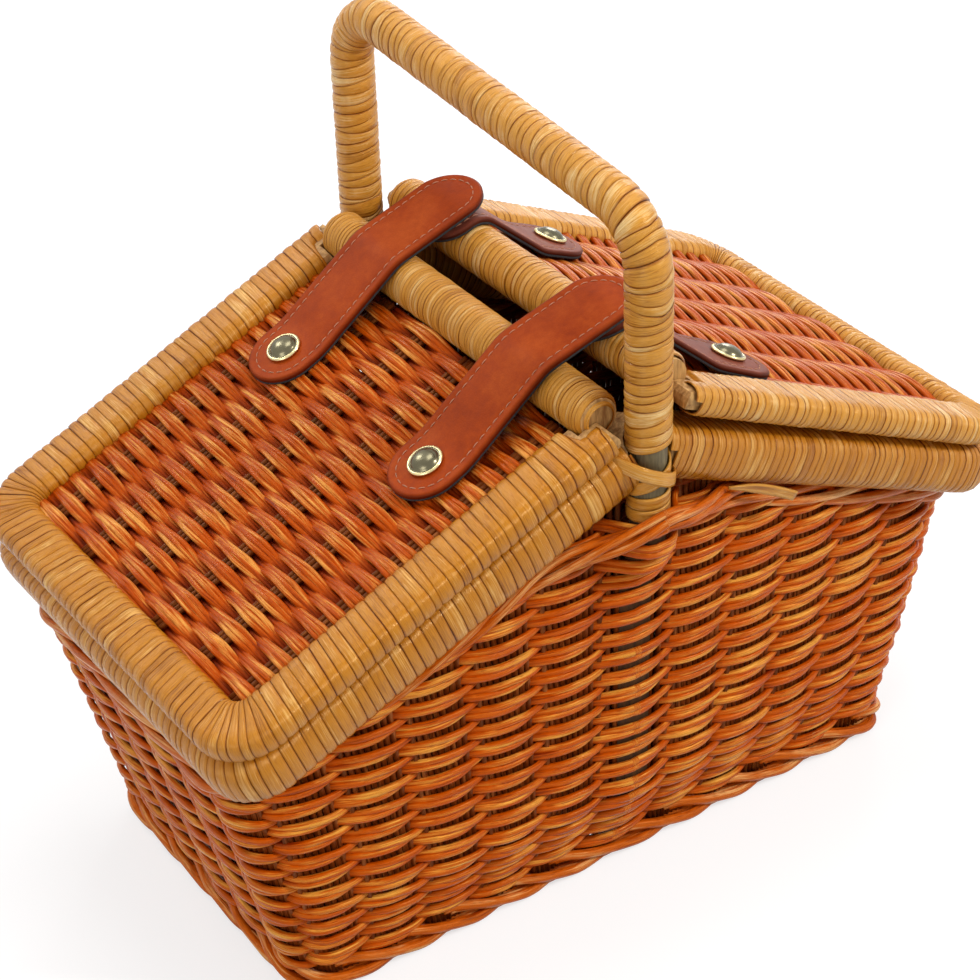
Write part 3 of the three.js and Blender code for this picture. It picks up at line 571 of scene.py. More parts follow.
def wall_weavers():
    """Rows of paired rods that pass in front of every other column of stakes."""
    skin = Skin()
    k = np.arange(STAKES * STEPS_PER_STAKE) / STEPS_PER_STAKE
    from_post = np.minimum(np.abs(np.mod(k + STAKES / 4, STAKES / 2) - STAKES / 4), 3)
    swell = 1 + 0.22 * np.exp(-((from_post / 0.6) ** 2))
    post = np.where(np.abs(k - STAKES / 2) < 3, STAKES // 2, 0)
    gap, squeeze, sway, twist, thick = 1.24, 0.5, 2.95, 0.8, 1.4
    for i in range(int((RIM_PEAK - 12) / ROW_PITCH)):
        z = FIRST_ROW + ROW_PITCH * i
        wave = np.cos(np.pi * (k + i))
        over = squared(wave, 0.7)
        cross = 1 - wave**2
        drift = wander(len(k), STAKES * 1.5, 0.16)
        bow = post_bow(wall_point(k, z)[0][:, 0], z)
        bow = (np.cos(np.pi * (post + i)) > 0) * bow * (z < border_height(0.0) - 1.5)
        for j in (-1, 1):
            rise = z + j * (gap - squeeze * cross) + drift + wander(len(k), STAKES * 2, 0.12)
            out = -WALL / 2 + sway * over * swell + j * twist * cross * np.sign(np.sin(np.pi * (k + i)))
            border = border_height(wall_point(k, rise)[0][:, 0])
            above = smoothstep(z, border - 0.5, border + 1.5)
            out = (out + bow) * (1 - 0.5 * above) - 3.0 * above + wander(len(k), STAKES * 2, 0.14)
            path, normal = wall_point(k, rise, out)
            # Painted shade through depth: low behind the stakes, and lower still above the border, under the
            # rim.
            depth = (over / 2 + 0.5) * (1 - 0.75 * above)
            radius = thick * rng.uniform(0.93, 1.05) * (1 + wander(len(k), STAKES, 0.02))
            shown = z < rim_underside(path[:, 0]) + 1.0
            for at in runs(shown):
                rod(skin, path[at], normal[at], radius[at], 0.92, depth[at], loop=shown.all())
    put(skin, "wall_weavers", WEAVE, "wall_weave")


def wall_stakes():
    """Columns of thin stakes side by side, with room for the pole at the posts."""
    skin = Skin()
    for k in range(STAKES):
        post = k % (STAKES // 2) == 0
        for j in range(-4, 5):
            if post and abs(j) < 2:
                continue
            at = k + j * STAKE_SPACING / STAKE_PITCH * (1.35 if post else 1)
            top = float(rim_underside(wall_point(at, 100.0)[0][0])) + 1.0
            z = np.linspace(5.0, top, 24)
            path, normal = wall_point(at, z, -WALL / 2 + wander(24, 6, 0.15))
            rod(skin, path, normal, 1.15 * rng.uniform(0.92, 1.05), depth=0.7, sides=6)
    put(skin, "wall_stakes", STAKE)


def border_route():
    """Middle of the roll of rods under the rim, anticlockwise from the front's middle."""
    k = np.arange(STAKES * STEPS_PER_STAKE) / STEPS_PER_STAKE
    z = np.full(len(k), RIM_END)
    for _ in range(4):
        path, normal = wall_point(k, z, -2.5)
        z = border_height(path[:, 0])
    near = near_post(path[:, 0], 46) * (np.abs(path[:, 1]) > 60)
    target = POST_OFFSET + CORE_RADIUS + 0.3 + BORDER_NECK
    path[:, 1] += np.sign(path[:, 1]) * np.maximum(target - np.abs(path[:, 1]), 0) * near
    return path, normal, near


def top_border():
    """Rods twisted round each other, flatter where they pass a post."""
    skin = Skin()
    path, normal, near = (np.concatenate([each, each[:1]]) for each in border_route())
    along = lengths_of(path)
    total, count, strands = along[-1], 900, 4
    at = np.arange(count) / count * total
    path, normal, near = follow(at, along, path), unit(follow(at, along, normal)), np.interp(at, along, near)
    tangent = unit(np.roll(path, -1, 0) - np.roll(path, 1, 0))
    up = unit(np.cross(normal, tangent))
    for j in range(strands):
        angle = TAU * (np.round(total / BORDER_TWIST) * at / total + j / strands)
        angle = angle + wander(count, 40, 0.12)
        spread = BORDER_RADIUS * (0.62 + wander(count, 30, 0.04))
        outward = spread * (1 - 0.62 * near) * np.cos(angle) + 0.5 * near
        offset = normal * outward[:, None] + up * (1.05 * spread * np.sin(angle))[:, None]
        radius = BORDER_RADIUS * 0.36 * rng.uniform(0.92, 1.08) * (1 - 0.1 * near)
        # Painted shade through depth: the strands on the inner side of the roll are drawn darker.
        rod(skin, path + offset, normal, radius, depth=0.65 + 0.3 * np.cos(angle), loop=True)
    put(skin, "top_border_rods", BORDER, "top_border")


def foot_border():
    """Each rod leans out of the wall, lies along the ground and tucks in two stakes on."""
    skin = Skin()
    t = np.linspace(0, 1, 34)
    for k in range(STAKES):
        for j in (0, 1):
            at = k + 0.12 * j - 0.1 + 2.75 * t
            z = 10.5 - 1.2 * j - (7.2 - 0.4 * j) * smoothstep(t, 0.0, 0.62) - 1.2 * smoothstep(t, 0.7, 1.0)
            out = -3.4 + 3.6 * smoothstep(t, 0, 0.3) - 1.7 * j * smoothstep(t, 0.2, 0.6)
            out = out - 6.6 * smoothstep(t, 0.5, 1.0)
            path, normal = wall_point(at, np.maximum(z, 1.9), out)
            # Painted shade through depth: each rod is drawn darker as it goes down and tucks in.
            rod(skin, path, normal, 1.85 * rng.uniform(0.93, 1.03), depth=0.8 - 0.5 * t)
    base = np.arange(STAKES * 8) / 8
    for out, z, radius in ((-4.0, 3.0, 2.9), (-8.6, 3.0, 2.9), (-5.8, 6.6, 2.0)):
        path, normal = wall_point(base, z, out)
        # Painted shade through depth: the rods along the ground, under the others, are drawn dark.
        rod(skin, path, normal, radius, depth=0.35, loop=True)
    put(skin, "foot_border_rods", BORDER, "foot_border")


def floor_weave():
    weavers, stakes = Skin(), Skin()
    middle = FOOT_HEIGHT + 0.3 + FLOOR_THICKNESS / 2
    half_x, half_y = HALF_LENGTH - WALL - 1.0, HALF_WIDTH - WALL - 1.0
    x, y = np.linspace(-half_x, half_x, 120), np.linspace(-half_y, half_y, 12)
    rows, inset = int(2 * half_y / ROW_PITCH), 2.2
    for i in range(rows):
        row = -half_y + inset + (2 * half_y - 2 * inset) * i / (rows - 1)
        over = squared(np.cos(np.pi * (x / STAKE_PITCH + i)), 1.35)
        for j in (-1, 1):
            path = stack(x, row + j * 1.05 + wander(len(x), 20, 0.1), middle + 1.6 * over)
            rod(weavers, path, (0, 0, 1), 1.15 * rng.uniform(0.93, 1.04), depth=0.6, sides=6)
    for n in range(-4, 5):
        for j in range(-4, 5):
            rod(stakes, stack(n * STAKE_PITCH + j * 2.6, y, middle), (0, 0, 1), 1.3, depth=0.6, sides=6)
    put(weavers, "floor_weavers", WEAVE, "floor_weave")
    put(stakes, "floor_stakes", STAKE)


wall_weavers()
wall_stakes()
top_border()
foot_border()
floor_weave()


# Rails wound with cane

def plane(side, tilt, peak):
    """The lids' and rims' own planes: u down the slope, v across, w square to it."""
    turn = Matrix.Rotation(0 if side > 0 else math.pi, 4, "Z")
    return np.array(Matrix.Translation((0, 0, peak)) @ turn @ Matrix.Rotation(tilt, 4, "Y"))


LEFT = plane(-1, SLOPE, RIM_TOP)
RIGHT = plane(1, RIGHT_SLOPE, RIM_TOP + RIGHT_RISE)


def rail_surface(start, reach, width, side, end, corner, inner, thickness, edge, low, neck=None):
    """The outside of a U-shaped rail: s runs along its outer edge, turn round its section. side and end
    are its breadths, corner and inner the plan's radii, edge the section's, low its underside and neck
    where the inner side of its arms starts."""
    half, half_in, far_in = width / 2, width / 2 - side, reach - end
    arm = [((start, half), (start, half_in if neck is None else neck))]
    if neck is not None:
        arm += [((start + 7.0, half), (start + 7.0, neck)), ((start + 9.0, half), (start + 9.0, half_in))]
    for n in range(11):
        angle = math.pi / 2 * n / 10
        s, c = math.sin(angle), math.cos(angle)
        arm.append(((reach - corner + corner * s, half - corner + corner * c),
                    (far_in - inner + inner * s, half_in - inner + inner * c)))
    outline = np.concatenate([np.array(arm) * (1, -1), arm[::-1]])
    outer, inside = outline[:, 0], outline[:, 1]
    at = lengths_of(outer)

    knots = []
    for x, z, first in ((1, 1, 0), (-1, 1, 90), (-1, -1, 180), (1, -1, 270)):
        for n in range(5):
            angle = math.radians(first + 90 * n / 4)
            knots.append((x, z, math.cos(angle), math.sin(angle)))
    knots = np.array(knots + knots[:1])
    half_height = thickness / 2
    turn_at = lengths_of(knots[:, :2] * (side / 2 - edge, half_height - edge) + edge * knots[:, 2:])
    turn_at = turn_at / turn_at[-1]

    def surface(s, turn):
        x, z, round_x, round_z = np.moveaxis(follow(np.mod(turn, 1.0), turn_at, knots), -1, 0)
        o, i = follow(s, at, outer), follow(s, at, inside)
        span = np.linalg.norm(o - i, axis=-1)
        direction = (o - i) / span[..., None]
        across = x * (span / 2 - edge) + edge * round_x
        flat = (o + i) / 2 + direction * across[..., None]
        height = low + half_height + z * (half_height - edge) + edge * round_z
        size = np.sqrt(round_x**2 + round_z**2)
        normal = np.concatenate([direction * (round_x / size)[..., None], (round_z / size)[..., None]], -1)
        return np.concatenate([flat, height[..., None]], -1), normal

    return surface, at[-1]


for name, side, pitch in (("left", -1, 4.2), ("right", 1, 3.0)):
    skin = Skin()
    surface, length = rail_surface(
        start=10.5, reach=RIM_REACH, width=RIM_WIDTH, side=24, end=18, corner=20, inner=6,
        thickness=RIM_THICKNESS, edge=7, low=-RIM_THICKNESS)
    ribbon(skin, surface, 0, length, pitch)
    put(skin, f"rim_cane_{name}", SHADED_CANE, f"rim_wrap_{name}", matrix=plane(side, SLOPE, RIM_TOP))


def lid_rods(name, matrix, stake_offset, end):
    """Rows of three rods over columns of three stakes, across the lid's slope."""
    weavers, stakes = Skin(), Skin()
    middle, half = LID_REST + LID_THICKNESS / 2, LID_WIDTH / 2 - 20.1
    v = np.linspace(-half, half, 84)
    low, high = 22.6, LID_REACH - end - 1.2
    rows = int((high - low) / LID_ROW_PITCH) + 1
    for i in range(rows):
        u = low + (high - low) * i / (rows - 1)
        phase = np.pi * ((v - stake_offset) / LID_STAKE_PITCH + i)
        wave = np.cos(phase)
        over = squared(wave, 0.5)
        spacing = 1.62 - 0.35 * (1 - wave**2) + 0.25 * np.sin(2 * phase)
        drift = wander(len(v), 14, 0.12)
        for j in (-1, 0, 1):
            across = u + j * spacing + drift + wander(len(v), 16, 0.1)
            up = middle + 2.0 * over - 0.3 * abs(j) + wander(len(v), 16, 0.1)
            rod(weavers, stack(across, v, up), (0, 0, 1), 1.08 * rng.uniform(0.9, 1.06), 0.9, over / 2 + 0.5)
    u = np.linspace(20.5, LID_REACH - end, 16)
    first = int(np.floor((-half + 4 - stake_offset) / LID_STAKE_PITCH))
    for n in range(first, first + 8):
        centre = stake_offset + n * LID_STAKE_PITCH
        if abs(centre) > half - 2:
            continue
        for j in (-1, 0, 1):
            path = stack(u, centre + j * STAKE_SPACING + wander(16, 5, 0.15), middle)
            rod(stakes, path, (0, 0, 1), 1.2, 0.9, depth=0.6, sides=6)
    put(weavers, f"{name}_weavers", LID_WEAVE, f"{name}_weave", name, matrix)
    put(stakes, f"{name}_stakes", STAKE, None, name, matrix)


def bar_surface(s, turn):
    """The hinge bar, drawn in at both ends."""
    angle = TAU * turn
    normal = stack(np.cos(angle), 0.0, -np.sin(angle))
    drawn_in = 3.2 * np.clip((np.abs(s) - 75.8) / 3.6, 0, 1) ** 2
    return stack(BAR_REACH, s, BAR_HEIGHT) + (BAR_RADIUS - drawn_in)[..., None] * normal, normal


for name, matrix, stake_offset, end, pitch, bar_pitch, cane in (
    ("left_lid", LEFT, -9.5, 18, 4.0, 1.7, SHADED_CANE), ("right_lid", RIGHT, 2.0, 12.5, 3.1, 2.6, CANE),
):
    lid_rods(name, matrix, stake_offset, end)
    rail, bar = Skin(), Skin()
    surface, length = rail_surface(
        start=14.5, reach=LID_REACH, width=LID_WIDTH, side=LID_SIDE, end=end, corner=21, inner=5,
        thickness=LID_THICKNESS, edge=4.6, low=LID_REST, neck=80.2)
    ribbon(rail, surface, 0, length, pitch)
    put(rail, f"{name}_rail_cane", cane, f"{name}_rail_wrap", name, matrix)
    ribbon(bar, bar_surface, -BAR_HALF, BAR_HALF, bar_pitch, crown=0.3, skirt=0.7, uneven=0.14)
    put(bar, f"{name}_bar_cane", CANE, f"{name}_hinge_bar_wrap", name, matrix)


# Handle

def bent_route(corners, steps=12):
    """A flat line through (point, radius) corners, each rounded off with its radius."""
    points = [np.array(corners[0][0], float)]
    for i in range(1, len(corners) - 1):
        (before, *_), (at, radius), (after, *_) = corners[i - 1], corners[i], corners[i + 1]
        at = np.array(at, float)
        into, away = unit(at - np.array(before)), unit(np.array(after) - at)
        turn = math.atan2(into[0] * away[1] - into[1] * away[0], float(into @ away))
        start = at - into * radius * math.tan(abs(turn) / 2)
        centre = start + np.array([-into[1], into[0]]) * math.copysign(radius, turn)
        points += [centre + turned(start - centre, turn * n / steps) for n in range(steps + 1)]
    points.append(np.array(corners[-1][0], float))
    return np.array(points)


def resample(points, step):
    along = lengths_of(points)
    return follow(np.linspace(0, along[-1], max(int(along[-1] / step), 2) + 1), along, points)


handle_line = resample(bent_route([
    ((-POST_OFFSET, WRAP_FOOT),),
    ((-POST_OFFSET, HANDLE_HEIGHT - HANDLE_CLIMB), HANDLE_BEND),
    ((POST_OFFSET, HANDLE_HEIGHT + HANDLE_CLIMB), HANDLE_BEND),
    ((POST_OFFSET, WRAP_FOOT),),
]), 2.0)
handle_at = lengths_of(handle_line)


def handle_surface(s, turn):
    y, z = np.moveaxis(follow(s, handle_at, handle_line), -1, 0)
    t = heading(s, handle_at, handle_line, 1.5)
    angle = TAU * turn
    normal = stack(np.cos(angle), np.sin(angle) * -t[..., 1], np.sin(angle) * t[..., 0])
    return stack(0.0, y, z) + HANDLE_RADIUS * normal, normal


def handle_rod():
    """Both ends of the bare pole, down in the wall and up into the wrap."""
    skin = Skin()
    z = np.linspace(POST_FOOT, WRAP_FOOT + 6, 60)[:, None]
    angle = circle(20)
    middle, wide, deep = post_section(z)
    for side in (-1, 1):
        ring = stack(wide * np.cos(angle), side * middle + side * deep * np.sin(angle), z)
        skin.grid(ring, z, angle / TAU, 3.0, 0.8, wrap=True)
    put(skin, "handle_rod", POLE, "handle_pole")


skin = Skin()
ribbon(skin, handle_surface, 0, handle_at[-1], 3.6, starts=2, crown=0.35, uneven=0.26, hand=-1)
put(skin, "handle_cane", CANE, "handle_wrap")
handle_rod()


def smooth_path(corners, count):
    """Evenly spaced points of a line with rounded corners."""
    points = stack(*(smoothed(column, 6) for column in resample(np.array(corners), 0.5).T))
    return follow(np.linspace(0, len(points) - 1, count), np.arange(len(points)), points)


# Outline of a band's section: places across it, and how far each stands out
BAND_ACROSS = np.array([-1, -0.94, -0.5, 0, 0.5, 0.94, 1, 0.6, -0.6])
BAND_OUT = np.array([-0.2, 0.32, 0.46, 0.5, 0.46, 0.32, -0.2, -0.4, -0.4])


def band(skin, centre, breadth, flat, half, tone, flip):
    """One strip of flat cane, flat side out."""
    across = BAND_ACROSS * half
    ring = centre[:, None] + breadth[:, None] * across[:, None] + flat[:, None] * BAND_OUT[:, None]
    around = across / half * 0.49 + 0.5
    skin.grid(ring if flip else ring[:, ::-1], lengths_of(centre)[:, None], around, tone, 0.6, wrap=True)


def lying(centre, flat):
    """Breadth and flat side of a strip along centre that faces flat."""
    tangent = unit(np.gradient(centre, axis=0))
    flat = unit(flat - tangent * np.sum(flat * tangent, -1, keepdims=True))
    return np.cross(tangent, flat), flat


# Turn and height of a lashing's winding, and the corners of the broad band on the front
LASHING_STAGES = np.array([
    (0, 162.2), (1, 166.8), (2, 171.4), (2.22, 172.4),
    (2.78, 183.0), (3.22, 183.0), (3.78, 172.4), (4, 171.6),
])
LASHING_BAND = (
    (-15, 84, 187), (-12.5, 89, 185.5), (-8.5, 94, 183.2), (-3.0, 95.6, 180.2), (3.0, 95.2, 177.0),
    (7.2, 92, 175.2), (8.6, 87, 175.2), (6.5, 81, 176.5),
)


def lashing(name, side):
    """Turns under the rim, a cross in front, and a broad band from the left rail's end."""
    skin = Skin()
    t = np.linspace(0, LASHING_STAGES[-1, 0], 200)
    height = smoothed(np.interp(t, *LASHING_STAGES.T), 4)
    lift = 1 - smoothstep(np.abs(t - 3.5), 0.05, 0.2)
    angle = np.pi / 2 + TAU * t
    flat = stack(np.cos(angle), -side * np.sin(angle), 0.0)
    radius = CORE_RADIUS + 0.7 + 1.1 * lift + wander(200, 24, 0.06)
    centre = flat * radius[:, None] + stack(0.0, side * POST_OFFSET, height)
    breadth = np.cross(unit(np.gradient(centre, axis=0)), flat)
    band(skin, centre, breadth, flat, 2.2, 5.5 + side, side > 0)
    centre = smooth_path(LASHING_BAND, 60) * (1, side, 1)
    flat = unit(stack(centre[:, 0] + 1.5, centre[:, 1] - side * (POST_OFFSET - 3), 0.0))
    band(skin, centre, *lying(centre, flat), 2.6, 8.5 + side, side < 0)
    put(skin, f"handle_tie_{name}", CANE, f"handle_lashing_{name}")


def tucked_end():
    """A cut end of cane that pokes out under the right rim."""
    skin = Skin()
    x = np.linspace(32, 59, 24)
    t = (x - 32) / 27
    centre = stack(x, -88.5 - 2.2 * t, rim_underside(x) - 0.4 - 0.8 * t + 1.2 * np.sin(np.pi * t))
    breadth, flat = lying(centre, np.broadcast_to(unit(np.array([0.1, -0.9, -0.25])), centre.shape))
    band(skin, centre, breadth * smoothstep(t, -0.25, 0.5)[:, None], flat, 2.0, 3.3, False)
    put(skin, "tucked_cane_end", CANE)


lashing("front", -1)
lashing("back", 1)
tucked_end()


# Straps

def front_view(matrix, reach, height=STRAP_LEVEL):
    """Where a point of a lid's own plane lies in x and z."""
    return (matrix @ (reach, 0, height, 1))[[0, 2]]


LEFT_BAR, RIGHT_BAR = front_view(LEFT, BAR_REACH, BAR_HEIGHT), front_view(RIGHT, BAR_REACH, BAR_HEIGHT)
OVER = unit(RIGHT_BAR - LEFT_BAR)
OVER_NORMAL = np.array([-OVER[1], OVER[0]])


def crossing(p, d, q, e):
    """Where the line through p along d meets the line through q along e."""
    apart = q - p
    return p + d * (apart[0] * e[1] - apart[1] * e[0]) / (d[0] * e[1] - d[1] * e[0])


def lift_off(foot, bar, radius, side):
    """Direction from foot that passes the bar's middle at radius."""
    towards = bar - foot
    return turned(unit(towards), side * math.asin(radius / np.linalg.norm(towards)))


def upper_route(low, high):
    """From the left lid over both bars, low over the left one and high over the right one."""
    start, lift = front_view(LEFT, 73), front_view(LEFT, 52)
    climb = math.asin((high - low) / np.linalg.norm(RIGHT_BAR - LEFT_BAR))
    along, outward = turned(OVER, climb), turned(OVER_NORMAL, climb)
    peak = crossing(lift, lift_off(lift, LEFT_BAR, low, 1), LEFT_BAR + low * outward, along)
    droop = math.radians(3)
    turn = RIGHT_BAR + high * outward + along * 22 * math.tan(droop)
    fall = turned(along, -2 * droop)
    tip = turn + fall * (23 - turn[0]) / fall[0]
    return bent_route([(start,), (lift, 40), (peak, low + 6), (turn, 22), (tip,)], 8)


def lower_route():
    clear = BAR_RADIUS + STRAP_THICKNESS / 2 + 0.3
    end, lift = front_view(RIGHT, 72), front_view(RIGHT, 45)
    rise = lift_off(lift, RIGHT_BAR, clear, -1)
    droop = math.radians(14)
    peak = crossing(lift, rise, RIGHT_BAR + clear * turned(OVER_NORMAL, droop), turned(OVER, droop))
    tuck = peak - turned(OVER, droop) * (peak[0] + 3)
    return bent_route([(end,), (lift, 24), (peak, clear), (tuck,)], 8)


# Points across half a strap, as shares of its half width
HALF_ACROSS = np.array([0, 0.15, 0.3, 0.45, 0.58, 0.66, 0.71, 0.75, 0.79, 0.84, 0.9, 0.94, 0.97, 0.99, 1.0])
STITCH_RADII = np.array([0.1, 0.19, 0.22, 0.22, 0.19, 0.1])


class Strap:
    """A stadium-shaped strip of leather along a front-view route. Past tip_from it is a second piece."""

    def __init__(self, route, matrix, across, splay, up, tip_from=None):
        self.line = resample(route, 1.0)
        self.at = lengths_of(self.line)
        self.total = self.at[-1]
        self.cut = self.total if tip_from is None else np.interp(tip_from, self.line[:, 0], self.at)
        self.back = np.linalg.inv(matrix)
        self.across, self.splay, self.up = across, splay, up

    def place(self, s, c, h):
        """World point at s along, c across and h over the middle of the leather."""
        s, c, h = np.broadcast_arrays(s, c, h)
        t = heading(s, self.at, self.line, 0.8)
        normal = stack(-t[..., 1], t[..., 0]) * self.up
        p = follow(s, self.at, self.line) + normal * h[..., None]
        u = self.back[0, 0] * p[..., 0] + self.back[0, 2] * p[..., 1] + self.back[0, 3]
        drift = math.tan(self.splay) * np.maximum(u - BAR_REACH, -BAR_REACH)
        return stack(p[..., 0], self.across + drift + c, p[..., 1])

    def half(self, s):
        """Half width at s, rounded at both ends."""
        left = np.minimum(s, self.total - s)
        rounded = np.sqrt(np.maximum(HALF_STRAP**2 - (HALF_STRAP - left) ** 2, 0))
        return np.where(left < HALF_STRAP, rounded, HALF_STRAP)

    def inside(self, s, c):
        """Distance in from the strap's outline."""
        left = np.minimum(s, self.total - s)
        return HALF_STRAP - np.where(left < HALF_STRAP, np.hypot(HALF_STRAP - left, c), np.abs(c))

    def top(self, inside):
        """Height of the upper face: a rounded edge, a groove under the stitches and a crown."""
        edge = -0.75 * (1 - np.clip(inside / 0.9, 0, 1)) ** 2
        groove = -0.22 * np.exp(-(((inside - STITCH_INSET) / 0.5) ** 2))
        return STRAP_THICKNESS / 2 + edge + groove + 0.25 * smoothstep(inside, STITCH_INSET, 11)

    def layer(self, low, high, trim=0.0, tip=False):
        """A closed sheet from low up to high(distance from the outline), cut at the tip's start."""
        end = HALF_STRAP * (1 - np.cos(np.linspace(0.03, 1, 14) * np.pi / 2))
        middle = np.linspace(HALF_STRAP, self.total - HALF_STRAP, 90)[1:-1]
        s = np.concatenate([end, middle, self.total - end[::-1]])
        if tip:
            s = np.concatenate([[self.cut], s[s > self.cut + 0.2]])
        elif self.cut < self.total:
            s = np.concatenate([s[s < self.cut - 0.2], [self.cut]])
        s = s[:, None]
        across = np.concatenate([-HALF_ACROSS[::-1], HALF_ACROSS[1:]]) * (self.half(s) - trim)
        inside = self.inside(s, across)

        def both(above, under):
            """Values across the underside, then back over the top."""
            return np.concatenate([under, above[:, ::-1]], 1)

        ring = both(self.place(s, across, high(inside)), self.place(s, across, low))
        depth = both(np.clip(inside / 3, 0, 1), np.clip(inside / 6, 0, 0.4))
        caps = (not tip, tip or bool(self.cut == self.total))
        skin = Skin()
        skin.grid(ring, s, both(across, across), 1.0, depth, wrap=True, caps=caps)
        return skin

    def stitches(self, tip=False):
        """Threads all round, in from the edge, on this side of the cut."""
        radius, straight = HALF_STRAP - STITCH_INSET, self.total - 2 * HALF_STRAP
        round_end = math.pi * radius
        whole = 2 * (straight + round_end)
        count = int(whole / STITCH_PITCH)

        def seam(d):
            """Places along and across the strap at d along the seam."""
            d = np.mod(d, whole)
            a = np.clip(d - straight, 0, round_end) / radius
            b = np.clip(d - 2 * straight - round_end, 0, round_end) / radius
            s = HALF_STRAP + np.clip(d, 0, straight) + radius * np.sin(a)
            s = s - np.clip(d - straight - round_end, 0, straight) - radius * np.sin(b)
            return s, np.where(d > 2 * straight + round_end, -radius * np.cos(b), radius * np.cos(a))

        skin = Skin()
        for n in range(count):
            s, c = seam(whole * (n + np.linspace(0.1, 0.86, 6)) / count)
            if (s[2] > self.cut) != tip:
                continue
            rise = np.sin(np.linspace(0.1, 1, 6) * np.pi * 0.93) * 0.3
            path = self.place(s, c, self.top(STITCH_INSET) + rise - 0.06)
            up = self.place(s, c, 3.0) - self.place(s, c, 0.0)
            rod(skin, path, up, STITCH_RADII, 0.8, depth=0.5, sides=6)
        return skin

    def pieces(self, name, leather, tip=False):
        """The leather, its felted back and its stitches."""
        upper = self.layer(LEATHER_UNDERSIDE, self.top, tip=tip)
        back = self.layer(-STRAP_THICKNESS / 2, lambda inside: FELT_TOP, 0.12, tip)
        kinds = ((upper, "", leather), (back, "_felt", FELT), (self.stitches(tip), "_stitches", THREAD))
        return [skin.build(name + ending, material) for skin, ending, material in kinds]

    def build(self, row, place, leather, slot, body, start, end):
        """start and end: where the bend over the bar begins and ends, in metres; not used."""
        name = f"{row}_leather_{place}"
        made = self.pieces(name, leather)
        for thing in made:
            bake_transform(thing)
        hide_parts(f"{row}_strap_{place}")
        if self.cut < self.total:
            # The free tip, which the right lid swings up against, is built as a piece of its own on the
            # basket.
            for thing in self.pieces(f"{name}_tip", leather, tip=True):
                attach(thing, "basket")
                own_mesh(thing)


for place, y, low, high in (("front", -STRAP_OFFSET, 11.2, 15.0), ("back", STRAP_OFFSET, 10.4, 15.2)):
    strap = Strap(upper_route(low, high), LEFT, y, 0.0, 1, TIP_FROM)
    strap.build("upper", place, LEATHER, "leather", "left_lid", (-0.034, 0, 0.2), (-0.004, 0, 0.2))
for place, y, splay in LOWER_STRAPS:
    strap = Strap(lower_route(), RIGHT, y, splay, -1)
    strap.build("lower", place, SHEEN_LEATHER, "dark_leather", "right_lid", (0.034, 0, 0.2), (0.004, 0, 0.2))


# Radius and height of a domed snap cap, from its foot over the rolled rim to the top
CAP_PROFILE = np.array([
    (5.2, 0.0), (5.9, 0.1), (6.3, 0.45), (6.35, 0.85), (6.15, 1.2), (5.75, 1.38), (5.35, 1.3), (5.1, 1.12),
    (4.95, 1.2), (4.7, 1.65), (4.2, 2.2), (3.4, 2.75), (2.4, 3.12), (1.2, 3.33), (0.02, 3.38),
])
# Radius past which a snap cap takes its pale painted reflection.
CAP_REFLECTION_RING = 5.5


def cap(side, place, matrix, u, v):
    level = STRAP_LEVEL + STRAP_THICKNESS / 2 + 0.25
    angle = circle(48)
    radius, height = CAP_PROFILE[:, :1], CAP_PROFILE[:, 1:]
    ring = stack(u + radius * np.cos(angle), v + radius * np.sin(angle), level + height)
    skin = Skin()
    # depth marks the rolled rim, where the metal takes its pale painted reflection.
    skin.grid(ring, height, angle, 1.0, (radius > CAP_REFLECTION_RING) * 1.0, wrap=True)
    put(skin, f"{side}_snap_{place}", METAL, f"{side}_lid_cap_{place}", f"{side}_lid", matrix)


# The left lid's plane is turned round, so v runs to the front there
for place, v in (("front", STRAP_OFFSET), ("back", -STRAP_OFFSET)):
    cap("left", place, LEFT, LEFT_CAP_REACH, v)
for place, v, splay in LOWER_STRAPS:
    cap("right", place, RIGHT, RIGHT_CAP_REACH, v + math.tan(splay) * (RIGHT_CAP_REACH - BAR_REACH))

# Bare ends and rivets that stay as they are in the CAD
for name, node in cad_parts.items():
    if not node.hide_render:
        node.data.materials.clear()
        node.data.materials.append(METAL if "rivet" in name else STUB)


# Camera, fitted to the photograph: degrees, millimetres and pixels

AZIMUTH, ELEVATION, ROLL = 33.0521396, 33.5039054, -1.9625080
AIM, DISTANCE = (-40.115760, -54.082356, 168.534475), 897.950702
FOCAL, PHOTO_SIDE, SENSOR = 2747.515340, 980, 36


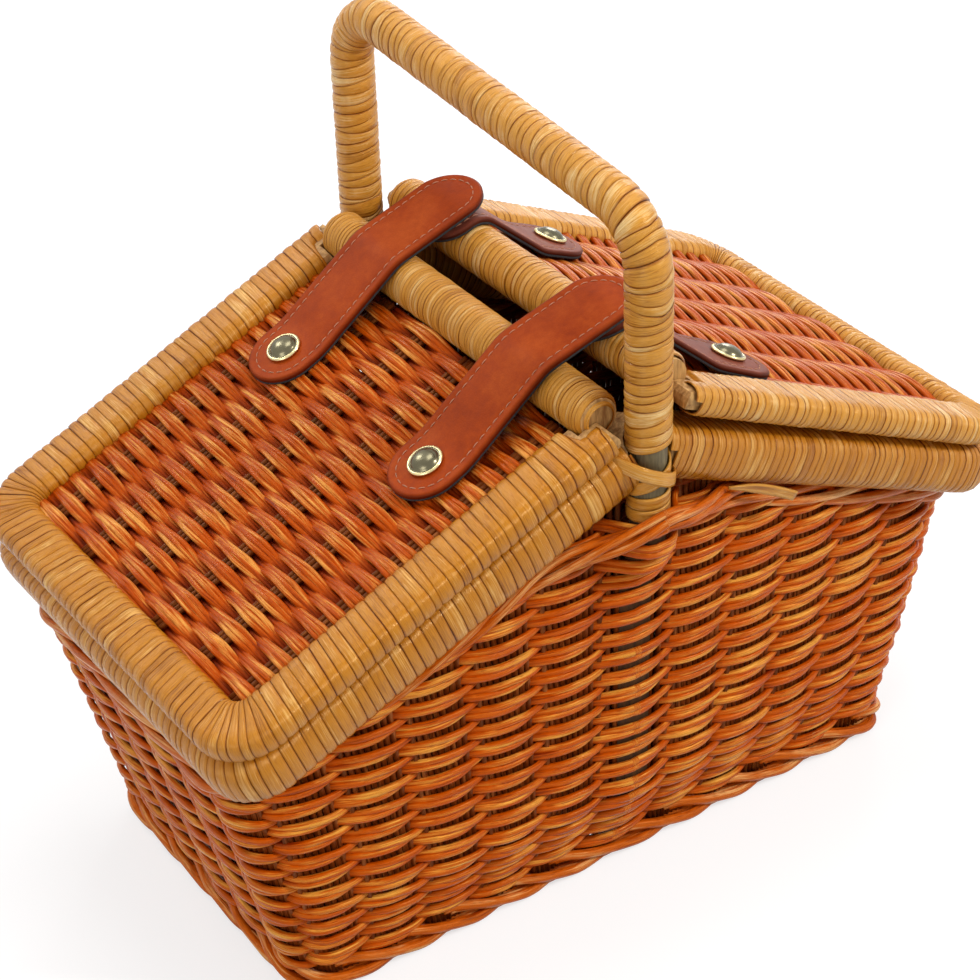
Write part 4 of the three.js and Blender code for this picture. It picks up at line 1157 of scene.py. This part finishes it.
def camera():
    az, el, roll = map(math.radians, (AZIMUTH, ELEVATION, ROLL))
    back = np.array([-math.sin(az) * math.cos(el), -math.cos(az) * math.cos(el), math.sin(el)])
    right = np.array([math.cos(az), -math.sin(az), 0])
    up = np.cross(back, right)
    c, s = math.cos(roll), math.sin(roll)
    at = (np.array(AIM) + back * DISTANCE) / 1000
    matrix = np.eye(4)
    matrix[:3] = stack(c * right + s * up, c * up - s * right, back, at)
    data = bpy.data.cameras.new("camera")
    data.sensor_width = SENSOR
    data.lens = FOCAL / PHOTO_SIDE * SENSOR
    data.clip_start, data.clip_end = 0.05, 20
    scene.camera = add_object("camera", data)
    scene.camera.matrix_world = Matrix(matrix.tolist())


camera()


# Studio

def lamp(name, place, target, size, power, colour=WHITE):
    data = bpy.data.lights.new(name, "AREA")
    data.shape, data.size, data.energy, data.color = "SQUARE", size, power, colour
    towards = (Vector(place) - Vector(target)).to_track_quat("Z", "Y")
    add_object(name, data).matrix_world = Matrix.Translation(place) @ towards.to_matrix().to_4x4()


lamp("key", (0.95, -1.15, 1.35), (0, 0, 0.12), 0.34, 20, (1, 0.985, 0.96))
lamp("fill", (-1.5, -0.7, 0.75), (0, 0, 0.1), 0.8, 8, (1, 0.99, 0.98))
lamp("top", (0.1, 0.3, 1.7), (0, 0, 0.15), 0.7, 8)
lamp("back_left", (-0.45, 1.45, 1.35), (0, 0, 0.15), 0.4, 7)
lamp("back_right", (1.3, 1.25, 0.55), (0, 0, 0.15), 0.4, 5)

# The world's light, what it adds where it is seen, and the floor's glow there
WORLD_LIGHT, WORLD_GLOW, FLOOR_GLOW = 0.45, 0.55, 0.66


def studio():
    s = Shader("studio_floor")
    colour = s.ramp(s.noise(s.place(), 3.0, 2.0), (0.2, (0.40, 0.40, 0.40)), (0.8, (0.42, 0.42, 0.42)))
    glow = s.math("MULTIPLY", s.seen(0.0, 1.0), FLOOR_GLOW)
    material = s.finish(Base_Color=colour, Roughness=0.9, Specular_IOR_Level=0.0,
                        Emission_Color=(1.0, 1.0, 1.0, 1.0), Emission_Strength=glow)
    skin = Skin()
    t = np.linspace(-6000, 6000, 9)
    skin.grid(stack(t[::-1, None], t, 0.0), t[:, None] / 1000, t / 1000, 0.0, 0.0)
    skin.build("floor", material)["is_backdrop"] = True
    scene.world = bpy.data.worlds.new("world")
    s = Shader("world", scene.world)
    s.finish("Background", Color=(1, 1, 1, 1), Strength=s.seen(WORLD_LIGHT, WORLD_GLOW))


studio()
scene.view_settings.view_transform = "Standard"

low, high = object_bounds()
{"cad": [list(cad_low), list(cad_high)], "visual": [list(low), list(high)]}
